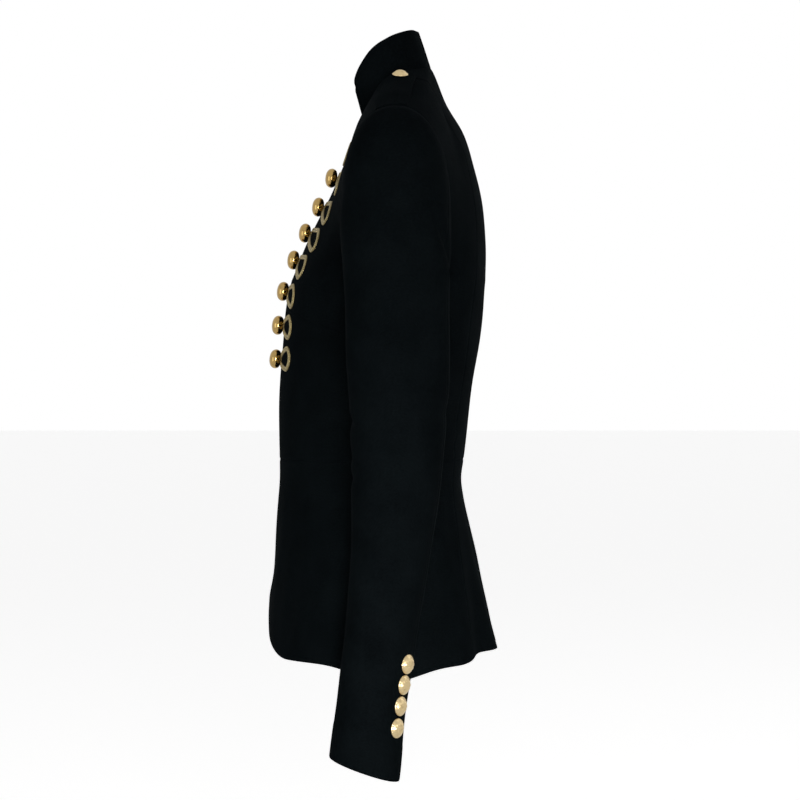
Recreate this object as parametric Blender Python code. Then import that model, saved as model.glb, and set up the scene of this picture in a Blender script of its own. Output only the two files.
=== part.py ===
"""A fitted hussar jacket, kept in the hollow form that it has when it is worn.

Metres. The front faces -Y, the wearer's left is +X and up is +Z. The origin is at the
base of the neck, between the shoulders, where the wearer holds the jacket up.
"""

import math
from collections import namedtuple

import bpy
import numpy as np
from mathutils import Vector
from mathutils.bvhtree import BVHTree

# Cloth and seams
WALL = 0.002
COLLAR_WALL = 0.0026
SEAM_GAP = 0.0006
SEAT_GAP = 0.0004

# Heights of the levels that the panels meet at
WAIST = -0.366
UNDERARM = -0.185
HEM = -0.5565

# How finely each run of cloth is divided
BODICE_ROWS = 8
YOKE_ROWS = 8
NECK_ROWS = 4
SKIRT_ROWS = 8
FRONT_COLUMNS = 11
BACK_COLUMNS = 5
SLEEVE_ROWS = 18
TOP_SLEEVE_COLUMNS = 11
UNDER_SLEEVE_COLUMNS = 9
COLLAR_ROWS = 4
ROW_STEPS = 97
EDGE_GRADING = 1.4
YOKE_POWER = 2.2
BACK_POWER = 2.4
SLOPE_STEP = 0.05
OUTSIDE = 1.0

# The body of the jacket, level by level: the depth at the centre front and the centre
# back, the half width and its place at the side seam, how square the front turns, and how
# far round the back half the princess seam lies
Level = namedtuple("Level", "height front back half_width side front_power seam")
TORSO = (
    Level(-0.5750, -0.1338, 0.1030, 0.1930, -0.012, 2.10, 0.57),
    Level(-0.5350, -0.1327, 0.0930, 0.1860, -0.012, 2.10, 0.56),
    Level(-0.4860, -0.1285, 0.0815, 0.1725, -0.011, 2.05, 0.55),
    Level(-0.4360, -0.1252, 0.0716, 0.1570, -0.010, 2.00, 0.53),
    Level(-0.4050, -0.1240, 0.0648, 0.1470, -0.010, 1.95, 0.52),
    Level(-0.3860, -0.1232, 0.0625, 0.1420, -0.010, 1.90, 0.51),
    Level(-0.3660, -0.1232, 0.0645, 0.1400, -0.010, 1.90, 0.50),
    Level(-0.3060, -0.1230, 0.0720, 0.1450, -0.009, 1.85, 0.495),
    Level(-0.2410, -0.1190, 0.0810, 0.1580, -0.007, 1.84, 0.485),
    Level(-0.2080, -0.1145, 0.0850, 0.1650, -0.006, 1.96, 0.480),
    Level(-0.1850, -0.1095, 0.0870, 0.1675, -0.005, 2.10, 0.475),
)

# The upper part, row by row from the underarm to the shoulder seam: where the row leaves
# the centre or the neck edge, how far round the armhole it ends (180 degrees is the
# underarm and 0 or 360 the shoulder point), how far it still wraps round the side, and
# how far its middle swells
Yoke = namedtuple("Yoke", "edge_x edge_y edge_z arm wrap swell seam")
FRONT_YOKE = (
    Yoke(0.0000, -0.1095, -0.1850, 180, 1.00, 0.000, 0.5),
    Yoke(0.0000, -0.0980, -0.1530, 206, 0.72, 0.001, 0.5),
    Yoke(0.0000, -0.0840, -0.1240, 231, 0.42, 0.002, 0.5),
    Yoke(0.0000, -0.0690, -0.0950, 255, 0.20, 0.001, 0.5),
    Yoke(0.0045, -0.0570, -0.0680, 277, 0.06, 0.002, 0.5),
    Yoke(0.0195, -0.0460, -0.0430, 298, 0.00, 0.003, 0.5),
    Yoke(0.0350, -0.0375, -0.0200, 319, 0.00, 0.003, 0.5),
    Yoke(0.0530, -0.0215, 0.0085, 341, 0.00, 0.002, 0.5),
    Yoke(0.0635, -0.0030, 0.0220, 360, 0.00, 0.000, 0.5),
)
BACK_YOKE = (
    Yoke(0.0000, 0.0870, -0.1850, 180, 1.00, 0.000, 0.475),
    Yoke(0.0000, 0.0868, -0.1480, 156, 0.78, 0.000, 0.515),
    Yoke(0.0000, 0.0838, -0.1080, 131, 0.50, 0.001, 0.525),
    Yoke(0.0000, 0.0765, -0.0700, 107, 0.24, 0.002, 0.500),
    Yoke(0.0000, 0.0650, -0.0335, 83, 0.08, 0.003, 0.460),
    Yoke(0.0000, 0.0458, -0.0020, 57, 0.00, 0.003, 0.425),
    Yoke(0.0000, 0.0316, 0.0310, 31, 0.00, 0.002, 0.425),
    Yoke(0.0370, 0.0235, 0.0285, 14, 0.00, 0.001, 0.320),
    Yoke(0.0635, -0.0030, 0.0220, 0, 0.00, 0.000, 0.225),
)
NECK_ROW = 6

# The skirt: the rounded front corner, the hem that falls a little towards the front and
# dips at the side and beside the princess seam, and the hollow and the ridge of the flare
CORNER_WIDTH = 0.115
CORNER_RISE = 0.055
CORNER_POWER = 1.7
HEM_TILT = 0.033
SIDE_DIP = 0.0180
SIDE_DIP_SPREAD = {"front": 0.165, "side": 0.20, "back": 0.20}
BACK_DIP = 0.0055
BACK_DIP_PLACE = 0.65
BACK_DIP_SPREAD = 0.14
FLARE_HOLLOW = 0.070
FLARE_HOLLOW_PLACE = 0.46
FLARE_RIDGE = 0.022
FLARE_RIDGE_PLACE = 0.28
FLARE_SPREAD = 0.10

# The sleeve, ring by ring from the armhole to the cuff: its outer and its inner line, how
# far the middle lies from the inner line, its place and reach to the front and the back,
# the slant of the ring, and how far the armhole's scoop still shows
Ring = namedtuple("Ring", "crown_x crown_z pit_x pit_z middle y front back slant scoop")
SLEEVE = (
    Ring(0.1909, -0.0270, 0.1675, -0.1856, 0.43, -0.0050, 0.0510, 0.0520, 0.0, 1.00),
    Ring(0.2095, -0.0325, 0.1695, -0.1880, 0.44, -0.0045, 0.0515, 0.0525, 0.0, 0.60),
    Ring(0.2280, -0.0500, 0.1710, -0.1915, 0.45, -0.0045, 0.0517, 0.0527, 0.0, 0.25),
    Ring(0.2425, -0.0790, 0.1722, -0.1960, 0.46, -0.0042, 0.0517, 0.0524, 0.0, 0.05),
    Ring(0.2520, -0.1140, 0.1730, -0.2020, 0.47, -0.0040, 0.0512, 0.0516, 0.0, 0.00),
    Ring(0.2572, -0.1520, 0.1738, -0.2100, 0.48, -0.0037, 0.0503, 0.0510, 0.0, 0.00),
    Ring(0.2592, -0.1910, 0.1748, -0.2230, 0.49, -0.0035, 0.0493, 0.0502, 0.0, 0.00),
    Ring(0.2600, -0.2350, 0.1765, -0.2480, 0.50, -0.0030, 0.0485, 0.0497, 0.0, 0.00),
    Ring(0.2612, -0.3030, 0.1800, -0.3030, 0.50, -0.0016, 0.0468, 0.0470, 0.0, 0.00),
    Ring(0.2630, -0.3550, 0.1845, -0.3550, 0.50, -0.0026, 0.0435, 0.0445, 0.5, 0.00),
    Ring(0.2655, -0.4050, 0.1890, -0.4050, 0.50, -0.0048, 0.0400, 0.0402, 2.0, 0.00),
    Ring(0.2692, -0.4600, 0.1945, -0.4600, 0.50, -0.0100, 0.0368, 0.0370, 4.0, 0.00),
    Ring(0.2732, -0.5150, 0.1990, -0.5150, 0.50, -0.0168, 0.0340, 0.0342, 6.0, 0.00),
    Ring(0.2772, -0.5650, 0.2020, -0.5650, 0.50, -0.0238, 0.0328, 0.0328, 9.0, 0.00),
    Ring(0.2805, -0.6150, 0.2045, -0.6150, 0.50, -0.0298, 0.0335, 0.0335, 14.0, 0.00),
    Ring(0.2820, -0.6480, 0.2055, -0.6480, 0.50, -0.0335, 0.0338, 0.0338, 18.7, 0.00),
)
SLEEVE_POWER = 2.25
FRONT_SCOOP = 0.013
BACK_SCOOP = 0.005
SCOOP_POWER = 4
BACK_ARM_SEAM = 72.0
FRONT_ARM_SEAM = -110.0
ARMHOLE_GAP = 0.0007

# The stand collar: its top edge above the front end, the front of the neck, the shoulder
# seam, the back of the neck and the centre back
Stand = namedtuple("Stand", "x y z")
COLLAR = (
    Stand(0.0355, -0.0480, 0.0190),
    Stand(0.0510, -0.0300, 0.0445),
    Stand(0.0580, -0.0105, 0.0570),
    Stand(0.0370, 0.0100, 0.0665),
    Stand(0.0000, 0.0190, 0.0698),
)
COLLAR_END_STATIONS = (0.0, 0.12, 0.27, 0.5, 0.75)
COLLAR_CORNER = 0.45
COLLAR_CORNER_DROP = 0.16

# The braid loops and the ball buttons down the front: the height of each row at the
# centre front, how far its outer end droops, how far that end lies from the front edge and how
# much that end slants outwards at its foot
Frog = namedtuple("Frog", "height droop reach slant")
FROGS = (
    Frog(-0.0525, 0.0095, 0.0620, 0.5),
    Frog(-0.0805, 0.0100, 0.0630, 0.6),
    Frog(-0.1100, 0.0100, 0.0635, 0.7),
    Frog(-0.1365, 0.0105, 0.0635, 0.7),
    Frog(-0.1640, 0.0098, 0.0620, 0.6),
    Frog(-0.1960, 0.0062, 0.0505, 0.2),
    Frog(-0.2305, 0.0026, 0.0465, 0.0),
    Frog(-0.2648, 0.0000, 0.0450, 0.0),
)
BRAID_WIDTH = 0.0049
BRAID_THICK = 0.0017
BRAID_BEVEL = 0.0006
BRAID_LIFT = 0.0007
LOOP_EDGE_GAP = 0.0030
LOOP_INNER_RADIUS = 0.0034
LOOP_OUTER_RADIUS = 0.0104
LOOP_END_POINTS = 7
LOOP_TIP_POINTS = 4
LOOP_SIDE_POINTS = 3
FRONT_BUTTON_LIFT = 8.0

# Turned profiles, as radius and height above the foot
Turn = namedtuple("Turn", "radius height")
BALL_PROFILE = (
    Turn(0.0022, 0.0000),
    Turn(0.0024, 0.0019),
    Turn(0.0062, 0.0025),
    Turn(0.0090, 0.0045),
    Turn(0.0098, 0.0072),
    Turn(0.0090, 0.0101),
    Turn(0.0061, 0.0123),
    Turn(0.0000, 0.0132),
)
CUFF_PROFILE = (
    Turn(0.0024, 0.0000),
    Turn(0.0024, 0.0010),
    Turn(0.0086, 0.0013),
    Turn(0.0090, 0.0022),
    Turn(0.0078, 0.0043),
    Turn(0.0047, 0.0059),
    Turn(0.0000, 0.0066),
)
BUTTON_SIDES = 12
EPAULETTE_BUTTON_SCALE = 0.86

# Edges that turn by more than this many degrees are shaded sharp
CLOTH_SHARP = 50
BRAID_SHARP = 40
BUTTON_SHARP = 60

# The four buttons of each cuff: how far down the sleeve and how far round it they sit
CuffSeat = namedtuple("CuffSeat", "height angle")
CUFF_SEATS = (
    CuffSeat(-0.5492, 51.5),
    CuffSeat(-0.5682, 51.5),
    CuffSeat(-0.5876, 50.5),
    CuffSeat(-0.6075, 47.5),
)

# The shoulder tab, from the sleeve seam to its tip by the neck
Tab = namedtuple("Tab", "x y half_width")
TAB = (
    Tab(0.1862, -0.0080, 0.0160),
    Tab(0.1600, -0.0066, 0.0158),
    Tab(0.1300, -0.0040, 0.0153),
    Tab(0.1020, -0.0004, 0.0148),
    Tab(0.0900, 0.0012, 0.0144),
    Tab(0.0815, 0.0020, 0.0122),
    Tab(0.0770, 0.0024, 0.0085),
    Tab(0.0747, 0.0025, 0.0030),
)
TAB_THICK = 0.0030
TAB_LIFT = 0.0013
TAB_ROWS = 10
TAB_COLUMNS = 10
TAB_BUTTON_X = 0.0980

# Finishes: colour, roughness and metallic value
CLOTH = ("black wool", (0.0040, 0.0050, 0.0062), 0.92, 0.0)
BRAID = ("gold braid", (0.42, 0.34, 0.16), 0.45, 0.6)
POLISHED_GOLD = ("polished gold", (0.80, 0.55, 0.20), 0.15, 1.0)
SATIN_GOLD = ("satin gold", (0.78, 0.62, 0.34), 0.34, 1.0)

LEFT, RIGHT = 1, -1
SIDES = (("left", LEFT), ("right", RIGHT))
FRONT, BACK = -1, 1


def clear_scene():
    for item in list(bpy.data.objects):
        bpy.data.objects.remove(item, do_unlink=True)


def material(finish):
    name, colour, roughness, metallic = finish
    made = bpy.data.materials.get(name)
    if made is None:
        made = bpy.data.materials.new(name)
        made.use_nodes = True
        shader = made.node_tree.nodes["Principled BSDF"]
        shader.inputs["Base Color"].default_value = (*colour, 1.0)
        shader.inputs["Roughness"].default_value = roughness
        shader.inputs["Metallic"].default_value = metallic
    return made


def add_object(name, points, faces, finish, sharp_degrees):
    mesh = bpy.data.meshes.new(name)
    mesh.from_pydata([tuple(point) for point in points], [], faces)
    mesh.shade_smooth()
    mesh.set_sharp_from_angle(angle=math.radians(sharp_degrees))
    mesh.materials.append(material(finish))
    made = bpy.data.objects.new(name, mesh)
    bpy.context.scene.collection.objects.link(made)
    return made


def smooth(knots, values, at):
    """A cubic curve through values at uneven knots, with slopes from the neighbours."""
    knots = np.asarray(knots, float)
    values = np.asarray(values, float)
    slopes = np.gradient(values, knots)
    place = np.clip(np.searchsorted(knots, at, side="right") - 1, 0, len(knots) - 2)
    span = knots[place + 1] - knots[place]
    part = (at - knots[place]) / span
    first = (1 + 2 * part) * (1 - part) ** 2 * values[place]
    last = part**2 * (3 - 2 * part) * values[place + 1]
    bend = part * (1 - part) ** 2 * slopes[place] - part**2 * (1 - part) * slopes[place + 1]
    return first + last + bend * span


def column(rows, name):
    return [getattr(row, name) for row in rows]


def at_height(name, height):
    return float(smooth(column(TORSO, "height"), column(TORSO, name), height))


def between_rows(rows, at):
    """One row of a table, read at a place between its rows."""
    knots = np.arange(len(rows), dtype=float)
    return type(rows[0])(*(float(smooth(knots, column(rows, name), at)) for name in rows[0]._fields))


def signed_power(value, power):
    return np.sign(value) * np.abs(value) ** (2.0 / power)


# The sleeve and the armhole that it is set in

def sleeve_ring(ring, degrees):
    """Points round one ring: 0 degrees is the outer line and 90 degrees the back."""
    turn = np.radians(np.atleast_1d(degrees))
    up = signed_power(np.cos(turn), SLEEVE_POWER)
    back = signed_power(np.sin(turn), SLEEVE_POWER)
    pit = np.array((ring.pit_x, ring.y, ring.pit_z))
    crown = np.array((ring.crown_x, ring.y, ring.crown_z))
    centre = pit + ring.middle * (crown - pit)
    arm = np.where((up > 0)[:, None], crown - centre, centre - pit) * up[:, None]
    slant = math.radians(ring.slant)
    across = np.array((0.0, math.cos(slant), -math.sin(slant)))
    depth = np.where(back > 0, ring.back, ring.front) * back
    scoop = np.where(back > 0, BACK_SCOOP, FRONT_SCOOP) * ring.scoop
    points = centre + arm + depth[:, None] * across
    points[:, 0] -= scoop * (1 - np.cos(turn) ** SCOOP_POWER)
    return points


def armhole(degrees):
    return sleeve_ring(SLEEVE[0], degrees)[0]


def sleeve_grid(start, end, columns):
    degrees = np.linspace(start, end, columns + 1)
    places = np.linspace(0, len(SLEEVE) - 1, SLEEVE_ROWS + 1)
    grid = np.array([sleeve_ring(between_rows(SLEEVE, place), degrees) for place in places])
    grid[0, :, 0] += ARMHOLE_GAP
    return grid


# The body: half rows from the centre line to the side seam or the armhole

def torso_row(edge, end, power, wrap, swell, face):
    reach = np.sin(np.linspace(0.0, math.pi / 2, ROW_STEPS))
    rounded = np.clip(1 - reach**power, 0, 1) ** (1 / power)
    flat = 1 - reach**YOKE_POWER
    depth = wrap * rounded + (1 - wrap) * flat
    points = np.empty((ROW_STEPS, 3))
    points[:, 0] = edge[0] + (end[0] - edge[0]) * reach
    points[:, 1] = end[1] + (edge[1] - end[1]) * depth + face * swell * np.sin(math.pi * reach)
    points[:, 2] = edge[2] + (end[2] - edge[2]) * reach
    return points


def divided(points, fractions):
    """Points at these fractions of a line's length."""
    steps = np.linalg.norm(np.diff(points, axis=0), axis=1)
    length = np.concatenate([[0.0], np.cumsum(steps)])
    at = np.asarray(fractions) * length[-1]
    return np.stack([np.interp(at, length, points[:, axis]) for axis in range(3)], axis=1)


def level_row(height, face):
    """One level half row, and how far along it the princess seam lies."""
    depth = at_height("front" if face == FRONT else "back", height)
    power = at_height("front_power", height) if face == FRONT else BACK_POWER
    edge = (0.0, depth, height)
    end = (at_height("half_width", height), at_height("side", height), height)
    return torso_row(edge, end, power, 1.0, 0.0, face), at_height("seam", height)


def yoke_row(place, face):
    """One half row above the underarm, and how far along it the princess seam lies."""
    rows = FRONT_YOKE if face == FRONT else BACK_YOKE
    row = between_rows(rows, place * (len(rows) - 1))
    power = at_height("front_power", UNDERARM) if face == FRONT else BACK_POWER
    edge = (max(row.edge_x, 0.0), row.edge_y, row.edge_z)
    wrap = min(max(row.wrap, 0.0), 1.0)
    return torso_row(edge, armhole(row.arm), power, wrap, row.swell, face), row.seam


def bodice_rows(face):
    levels = [level_row(height, face) for height in np.linspace(WAIST, UNDERARM, BODICE_ROWS + 1)]
    neck = NECK_ROW / (len(FRONT_YOKE) - 1)
    places = [*np.linspace(0, neck, YOKE_ROWS + 1)[1:], *np.linspace(neck, 1, NECK_ROWS + 1)[1:]]
    yokes = [yoke_row(place, face) for place in places]
    return levels + yokes


def skirt_rows(face):
    return [level_row(height, face) for height in np.linspace(HEM, WAIST, SKIRT_ROWS + 1)]


def front_fractions():
    return (np.arange(FRONT_COLUMNS + 1) / FRONT_COLUMNS) ** EDGE_GRADING


def back_fractions(seam, panel):
    share = np.linspace(0, 1, BACK_COLUMNS + 1)
    return share * seam if panel == "back" else seam + share * (1 - seam)


def panel_grid(rows, panel):
    if panel == "front":
        return np.array([divided(points, front_fractions()) for points, _ in rows])
    return np.array([divided(points, back_fractions(seam, panel)) for points, seam in rows])


def bump(fractions, place, spread):
    return np.exp(-(((fractions - place) / spread) ** 2))


def flared(grid, panel, rows):
    """The skirt panel with its rounded corner, its hem line and the folds of its flare."""
    flared_grid = grid.copy()
    for number, (_, seam) in enumerate(rows):
        down = 1 - number / SKIRT_ROWS
        row = flared_grid[number]
        if panel == "front":
            fractions = front_fractions()
            gone = np.clip(1 - row[:, 0] / CORNER_WIDTH, 0, 1)
            row[:, 2] += CORNER_RISE * (1 - (1 - gone**CORNER_POWER) ** (1 / CORNER_POWER)) * down**3
        else:
            fractions = back_fractions(seam, panel)
            hollow = -FLARE_HOLLOW * bump(fractions, FLARE_HOLLOW_PLACE, FLARE_SPREAD)
            ridge = FLARE_RIDGE * bump(fractions, FLARE_RIDGE_PLACE, FLARE_SPREAD)
            centre = np.array((0.0, at_height("side", HEM)))
            row[:, :2] = centre + (row[:, :2] - centre) * (1 + (hollow + ridge) * down**2)[:, None]
            row[:, 2] -= BACK_DIP * bump(fractions, BACK_DIP_PLACE, BACK_DIP_SPREAD) * down
        row[:, 2] -= SIDE_DIP * bump(fractions, 1, SIDE_DIP_SPREAD[panel]) * down
        row[:, 2] += HEM_TILT * (row[:, 1] - at_height("side", HEM)) * down
    return flared_grid


# Walls made from grids of outer points

def outward_normals(grid, turn):
    along = np.gradient(grid, axis=1, edge_order=2)
    up = np.gradient(grid, axis=0, edge_order=2)
    normals = turn * np.cross(along, up)
    normals[np.abs(grid[:, :, 0]) < SEAM_GAP, 0] = 0.0
    return normals / np.linalg.norm(normals, axis=2, keepdims=True)


def match_seam(one, other):
    """Gives both sides of a seam the same directions, so that neither wall leans over it."""
    mean = one + other
    mean /= np.linalg.norm(mean, axis=1, keepdims=True)
    one[:] = mean
    other[:] = mean


def shoulder_normal():
    """The direction square to the shoulder seam, nearest to straight up."""
    seam = armhole(0.0) - np.array(FRONT_YOKE[-1][:3])
    seam /= np.linalg.norm(seam)
    up = np.array((0.0, 0.0, 1.0))
    normal = up - (up @ seam) * seam
    return normal / np.linalg.norm(normal)


def pulled_in(grid, gap=SEAM_GAP / 2):
    """The grid with each edge drawn back from its seam."""
    trimmed = grid.copy()
    for edge, inner in ((0, 1), (-1, -2)):
        step = trimmed[inner] - trimmed[edge]
        trimmed[edge] += gap * step / np.linalg.norm(step, axis=1, keepdims=True)
    for edge, inner in ((0, 1), (-1, -2)):
        step = trimmed[:, inner] - trimmed[:, edge]
        trimmed[:, edge] += gap * step / np.linalg.norm(step, axis=1, keepdims=True)
    return trimmed


def sheet_faces(rows, columns, turn, offset=0):
    faces = []
    for i in range(rows - 1):
        for j in range(columns - 1):
            first = offset + i * columns + j
            quad = (first, first + 1, first + columns + 1, first + columns)
            faces.append(quad if turn > 0 else quad[::-1])
    return faces


def border(rows, columns):
    """The indices round a grid's edge, in order."""
    bottom = [j for j in range(columns)]
    right = [i * columns + columns - 1 for i in range(1, rows)]
    top = [(rows - 1) * columns + j for j in range(columns - 2, -1, -1)]
    left = [i * columns for i in range(rows - 2, 0, -1)]
    return bottom + right + top + left


def wall(grid, normals, turn, inset, lift=0.0):
    """Points and faces of a closed wall between a grid and its copy, inset along the normals."""
    rows, columns = grid.shape[:2]
    outer = (grid + lift * normals).reshape(-1, 3)
    inner = (grid + (lift - inset) * normals).reshape(-1, 3)
    count = rows * columns
    faces = sheet_faces(rows, columns, turn) + sheet_faces(rows, columns, -turn, count)
    ring = border(rows, columns)
    for here, there in zip(ring, ring[1:] + ring[:1]):
        quad = (here, here + count, there + count, there)
        faces.append(quad if turn > 0 else quad[::-1])
    return np.concatenate([outer, inner]), faces


def add_pair(name, grid, normals, turn, inset=WALL, lift=0.0):
    """Adds a left piece and its mirror image."""
    for side_name, side in SIDES:
        mirror = np.array((side, 1.0, 1.0))
        points, faces = wall(grid * mirror, normals * mirror, turn * side, inset, lift)
        add_object(f"{name}_{side_name}", points, faces, CLOTH, CLOTH_SHARP)


# The pieces of cloth

def body_grids():
    """Each panel of the left half: its outer points, and the way its faces turn."""
    grids, turns = {}, {}
    for panel, face in (("front", FRONT), ("side", BACK), ("back", BACK)):
        lower_rows = skirt_rows(face)
        grids[panel] = panel_grid(bodice_rows(face), panel)
        grids["skirt_" + panel] = flared(panel_grid(lower_rows, panel), panel, lower_rows)
        turns[panel] = turns["skirt_" + panel] = -face
    return grids, turns


def matched_normals(grids, turns):
    normals = {name: outward_normals(grid, turns[name]) for name, grid in grids.items()}
    level = BODICE_ROWS + 1
    match_seam(normals["front"][:level, -1], normals["side"][:level, -1])
    match_seam(normals["side"][:, 0], normals["back"][:, -1])
    match_seam(normals["skirt_front"][:, -1], normals["skirt_side"][:, -1])
    match_seam(normals["skirt_side"][:, 0], normals["skirt_back"][:, -1])
    for panel in ("front", "side", "back"):
        match_seam(normals[panel][0], normals["skirt_" + panel][-1])
        normals[panel][-1] = shoulder_normal()
    return normals


def add_body(grids, turns):
    normals = matched_normals(grids, turns)
    for name, grid in grids.items():
        add_pair(name, pulled_in(grid), normals[name], turns[name])


def surface_of(shell):
    """The surface that trimmings are laid on."""
    points, faces = [], []
    for grid in shell:
        rows, columns = grid.shape[:2]
        faces += sheet_faces(rows, columns, 1, len(points))
        points += [Vector(point) for point in grid.reshape(-1, 3)]
    return BVHTree.FromPolygons(points, faces)


def add_sleeves():
    top = pulled_in(sleeve_grid(BACK_ARM_SEAM, FRONT_ARM_SEAM, TOP_SLEEVE_COLUMNS))
    under = pulled_in(sleeve_grid(FRONT_ARM_SEAM + 360, BACK_ARM_SEAM, UNDER_SLEEVE_COLUMNS))
    top_normals = outward_normals(top, 1)
    under_normals = outward_normals(under, 1)
    match_seam(top_normals[:, 0], under_normals[:, -1])
    match_seam(top_normals[:, -1], under_normals[:, 0])
    add_pair("sleeve_top", top, top_normals, 1)
    add_pair("sleeve_under", under, under_normals, 1)


def neckline(grids):
    """The neck edge of the left panels, from the collar's front end to the centre back."""
    front = grids["front"][-NECK_ROWS - 1 :, 0]
    back = grids["back"][-NECK_ROWS - 1 :, 0]
    return np.concatenate([front, back[-2::-1]])


def collar_grid(neck):
    last = len(COLLAR) - 1
    half = np.array([*COLLAR_END_STATIONS, *np.linspace(1, last, 2 * last - 1)])
    knots = np.linspace(0, last, len(neck))
    stands = np.array(COLLAR)
    lower = np.stack([np.interp(half, knots, neck[:, axis]) for axis in range(3)], axis=1)
    upper = np.stack([smooth(np.arange(last + 1), stands[:, axis], half) for axis in range(3)], axis=1)
    gone = np.clip(1 - half / COLLAR_CORNER, 0, 1)
    height = 1 - COLLAR_CORNER_DROP * (1 - np.sqrt(1 - gone**2))
    rise = upper - lower
    start = SEAM_GAP / np.linalg.norm(rise, axis=1)
    shares = np.linspace(0, 1, COLLAR_ROWS + 1)
    left = np.array([lower + rise * (start + (height - start) * share)[:, None] for share in shares])
    right = left[:, -2::-1] * np.array((-1.0, 1.0, 1.0))
    return np.concatenate([left, right], axis=1)


def add_collar(neck):
    grid = collar_grid(neck)
    points, faces = wall(grid, outward_normals(grid, 1), 1, COLLAR_WALL)
    add_object("collar", points, faces, CLOTH, CLOTH_SHARP)


# What lies on the panels

def on_front(surface, x, z):
    """The point of the chest behind this place in the front view, and its normal."""
    place, normal, _, _ = surface.ray_cast(Vector((x, -OUTSIDE, z)), Vector((0.0, 1.0, 0.0)))
    return np.array(place), np.array(normal) * (-1.0 if normal.y > 0 else 1.0)


def on_shoulder(surface, x, y):
    place, normal, _, _ = surface.ray_cast(Vector((x, y, OUTSIDE)), Vector((0.0, 0.0, -1.0)))
    return np.array(place), np.array(normal) * (-1.0 if normal.z < 0 else 1.0)


def edge_at(height):
    """How far from the centre line the front edge lies at a height."""
    heights = [row.edge_z for row in FRONT_YOKE]
    edges = [row.edge_x for row in FRONT_YOKE]
    return float(np.interp(height, heights, edges))


def arc(centre, radius, start, end, count):
    turns = np.radians(np.linspace(start, end, count))
    return [centre + radius * np.array((math.cos(turn), math.sin(turn))) for turn in turns]


def loop_path(frog):
    """The middle line of one braid loop in the front view: a belt round a small and a wide arc."""
    tip_x = edge_at(frog.height) + LOOP_EDGE_GAP + BRAID_WIDTH / 2 + LOOP_INNER_RADIUS
    tip = np.array((tip_x, frog.height))
    end = np.array((edge_at(frog.height) + frog.reach, frog.height - frog.droop))
    axis = end - tip
    lean = math.degrees(math.atan2(axis[1], axis[0]))
    spread = math.degrees(math.acos(-(LOOP_OUTER_RADIUS - LOOP_INNER_RADIUS) / np.linalg.norm(axis)))
    outer = arc(end, LOOP_OUTER_RADIUS, lean - spread, lean + spread, LOOP_END_POINTS)
    outer = [place + np.array((frog.slant * (end[1] - place[1]), 0.0)) for place in outer]
    inner = arc(tip, LOOP_INNER_RADIUS, lean + spread, lean + 360 - spread, LOOP_TIP_POINTS)
    shares = np.linspace(0, 1, LOOP_SIDE_POINTS + 2)[1:-1]
    upper = [outer[-1] + share * (inner[0] - outer[-1]) for share in shares]
    lower = [inner[-1] + share * (outer[0] - inner[-1]) for share in shares]
    return np.array(outer + upper + inner + lower)


def braid_band(surface, path):
    """Points and faces of a flat closed braid that follows the path over the chest."""
    ahead = np.roll(path, -1, axis=0) - np.roll(path, 1, axis=0)
    ahead /= np.linalg.norm(ahead, axis=1, keepdims=True)
    outward = np.stack([ahead[:, 1], -ahead[:, 0]], axis=1)
    half = BRAID_WIDTH / 2
    offsets = (half, half - BRAID_BEVEL, -half + BRAID_BEVEL, -half)
    lifts = (BRAID_LIFT, BRAID_LIFT + BRAID_THICK, BRAID_LIFT + BRAID_THICK, BRAID_LIFT)
    normals = np.array([on_front(surface, x, z)[1] for x, z in path])
    normals = normals + np.roll(normals, 1, axis=0) + np.roll(normals, -1, axis=0)
    normals /= np.linalg.norm(normals, axis=1, keepdims=True)
    points = []
    for place, out, normal in zip(path, outward, normals):
        for offset, lift in zip(offsets, lifts):
            x, z = place + offset * out
            points.append(on_front(surface, x, z)[0] + lift * normal)
    count, sides = len(path), len(offsets)
    faces = []
    for i in range(count):
        for j in range(sides):
            here, there = i * sides, (i + 1) % count * sides
            faces.append((here + j, there + j, there + (j + 1) % sides, here + (j + 1) % sides))
    return np.array(points), faces


def add_loops(surface):
    for number, frog in enumerate(FROGS):
        points, faces = braid_band(surface, loop_path(frog))
        for side_name, side in SIDES:
            mirrored = points * np.array((side, 1.0, 1.0))
            turned = faces if side == LEFT else [face[::-1] for face in faces]
            add_object(f"loop_{number}_{side_name}", mirrored, turned, BRAID, BRAID_SHARP)


def turned_mesh(profile, scale=1.0):
    """A closed mesh turned about +Z: a flat foot, rings, and a point at the top."""
    points = [(0.0, 0.0, 0.0)]
    faces = []
    for row in profile[:-1]:
        for k in range(BUTTON_SIDES):
            turn = 2 * math.pi * k / BUTTON_SIDES
            points.append((row.radius * math.cos(turn), row.radius * math.sin(turn), row.height))
    points.append((0.0, 0.0, profile[-1].height))
    top = len(points) - 1
    for k in range(BUTTON_SIDES):
        after = (k + 1) % BUTTON_SIDES
        faces.append((0, 1 + after, 1 + k))
        for ring in range(len(profile) - 2):
            low, high = 1 + ring * BUTTON_SIDES, 1 + (ring + 1) * BUTTON_SIDES
            faces.append((low + k, low + after, high + after, high + k))
        last = 1 + (len(profile) - 2) * BUTTON_SIDES
        faces.append((last + k, last + after, top))
    return np.array(points) * scale, faces


def add_button(name, profile, foot, axis, finish, scale=1.0):
    points, faces = turned_mesh(profile, scale)
    made = add_object(name, points, faces, finish, BUTTON_SHARP)
    made.location = foot
    made.rotation_euler = Vector(axis).to_track_quat("Z", "Y").to_euler()
    return made


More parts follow.
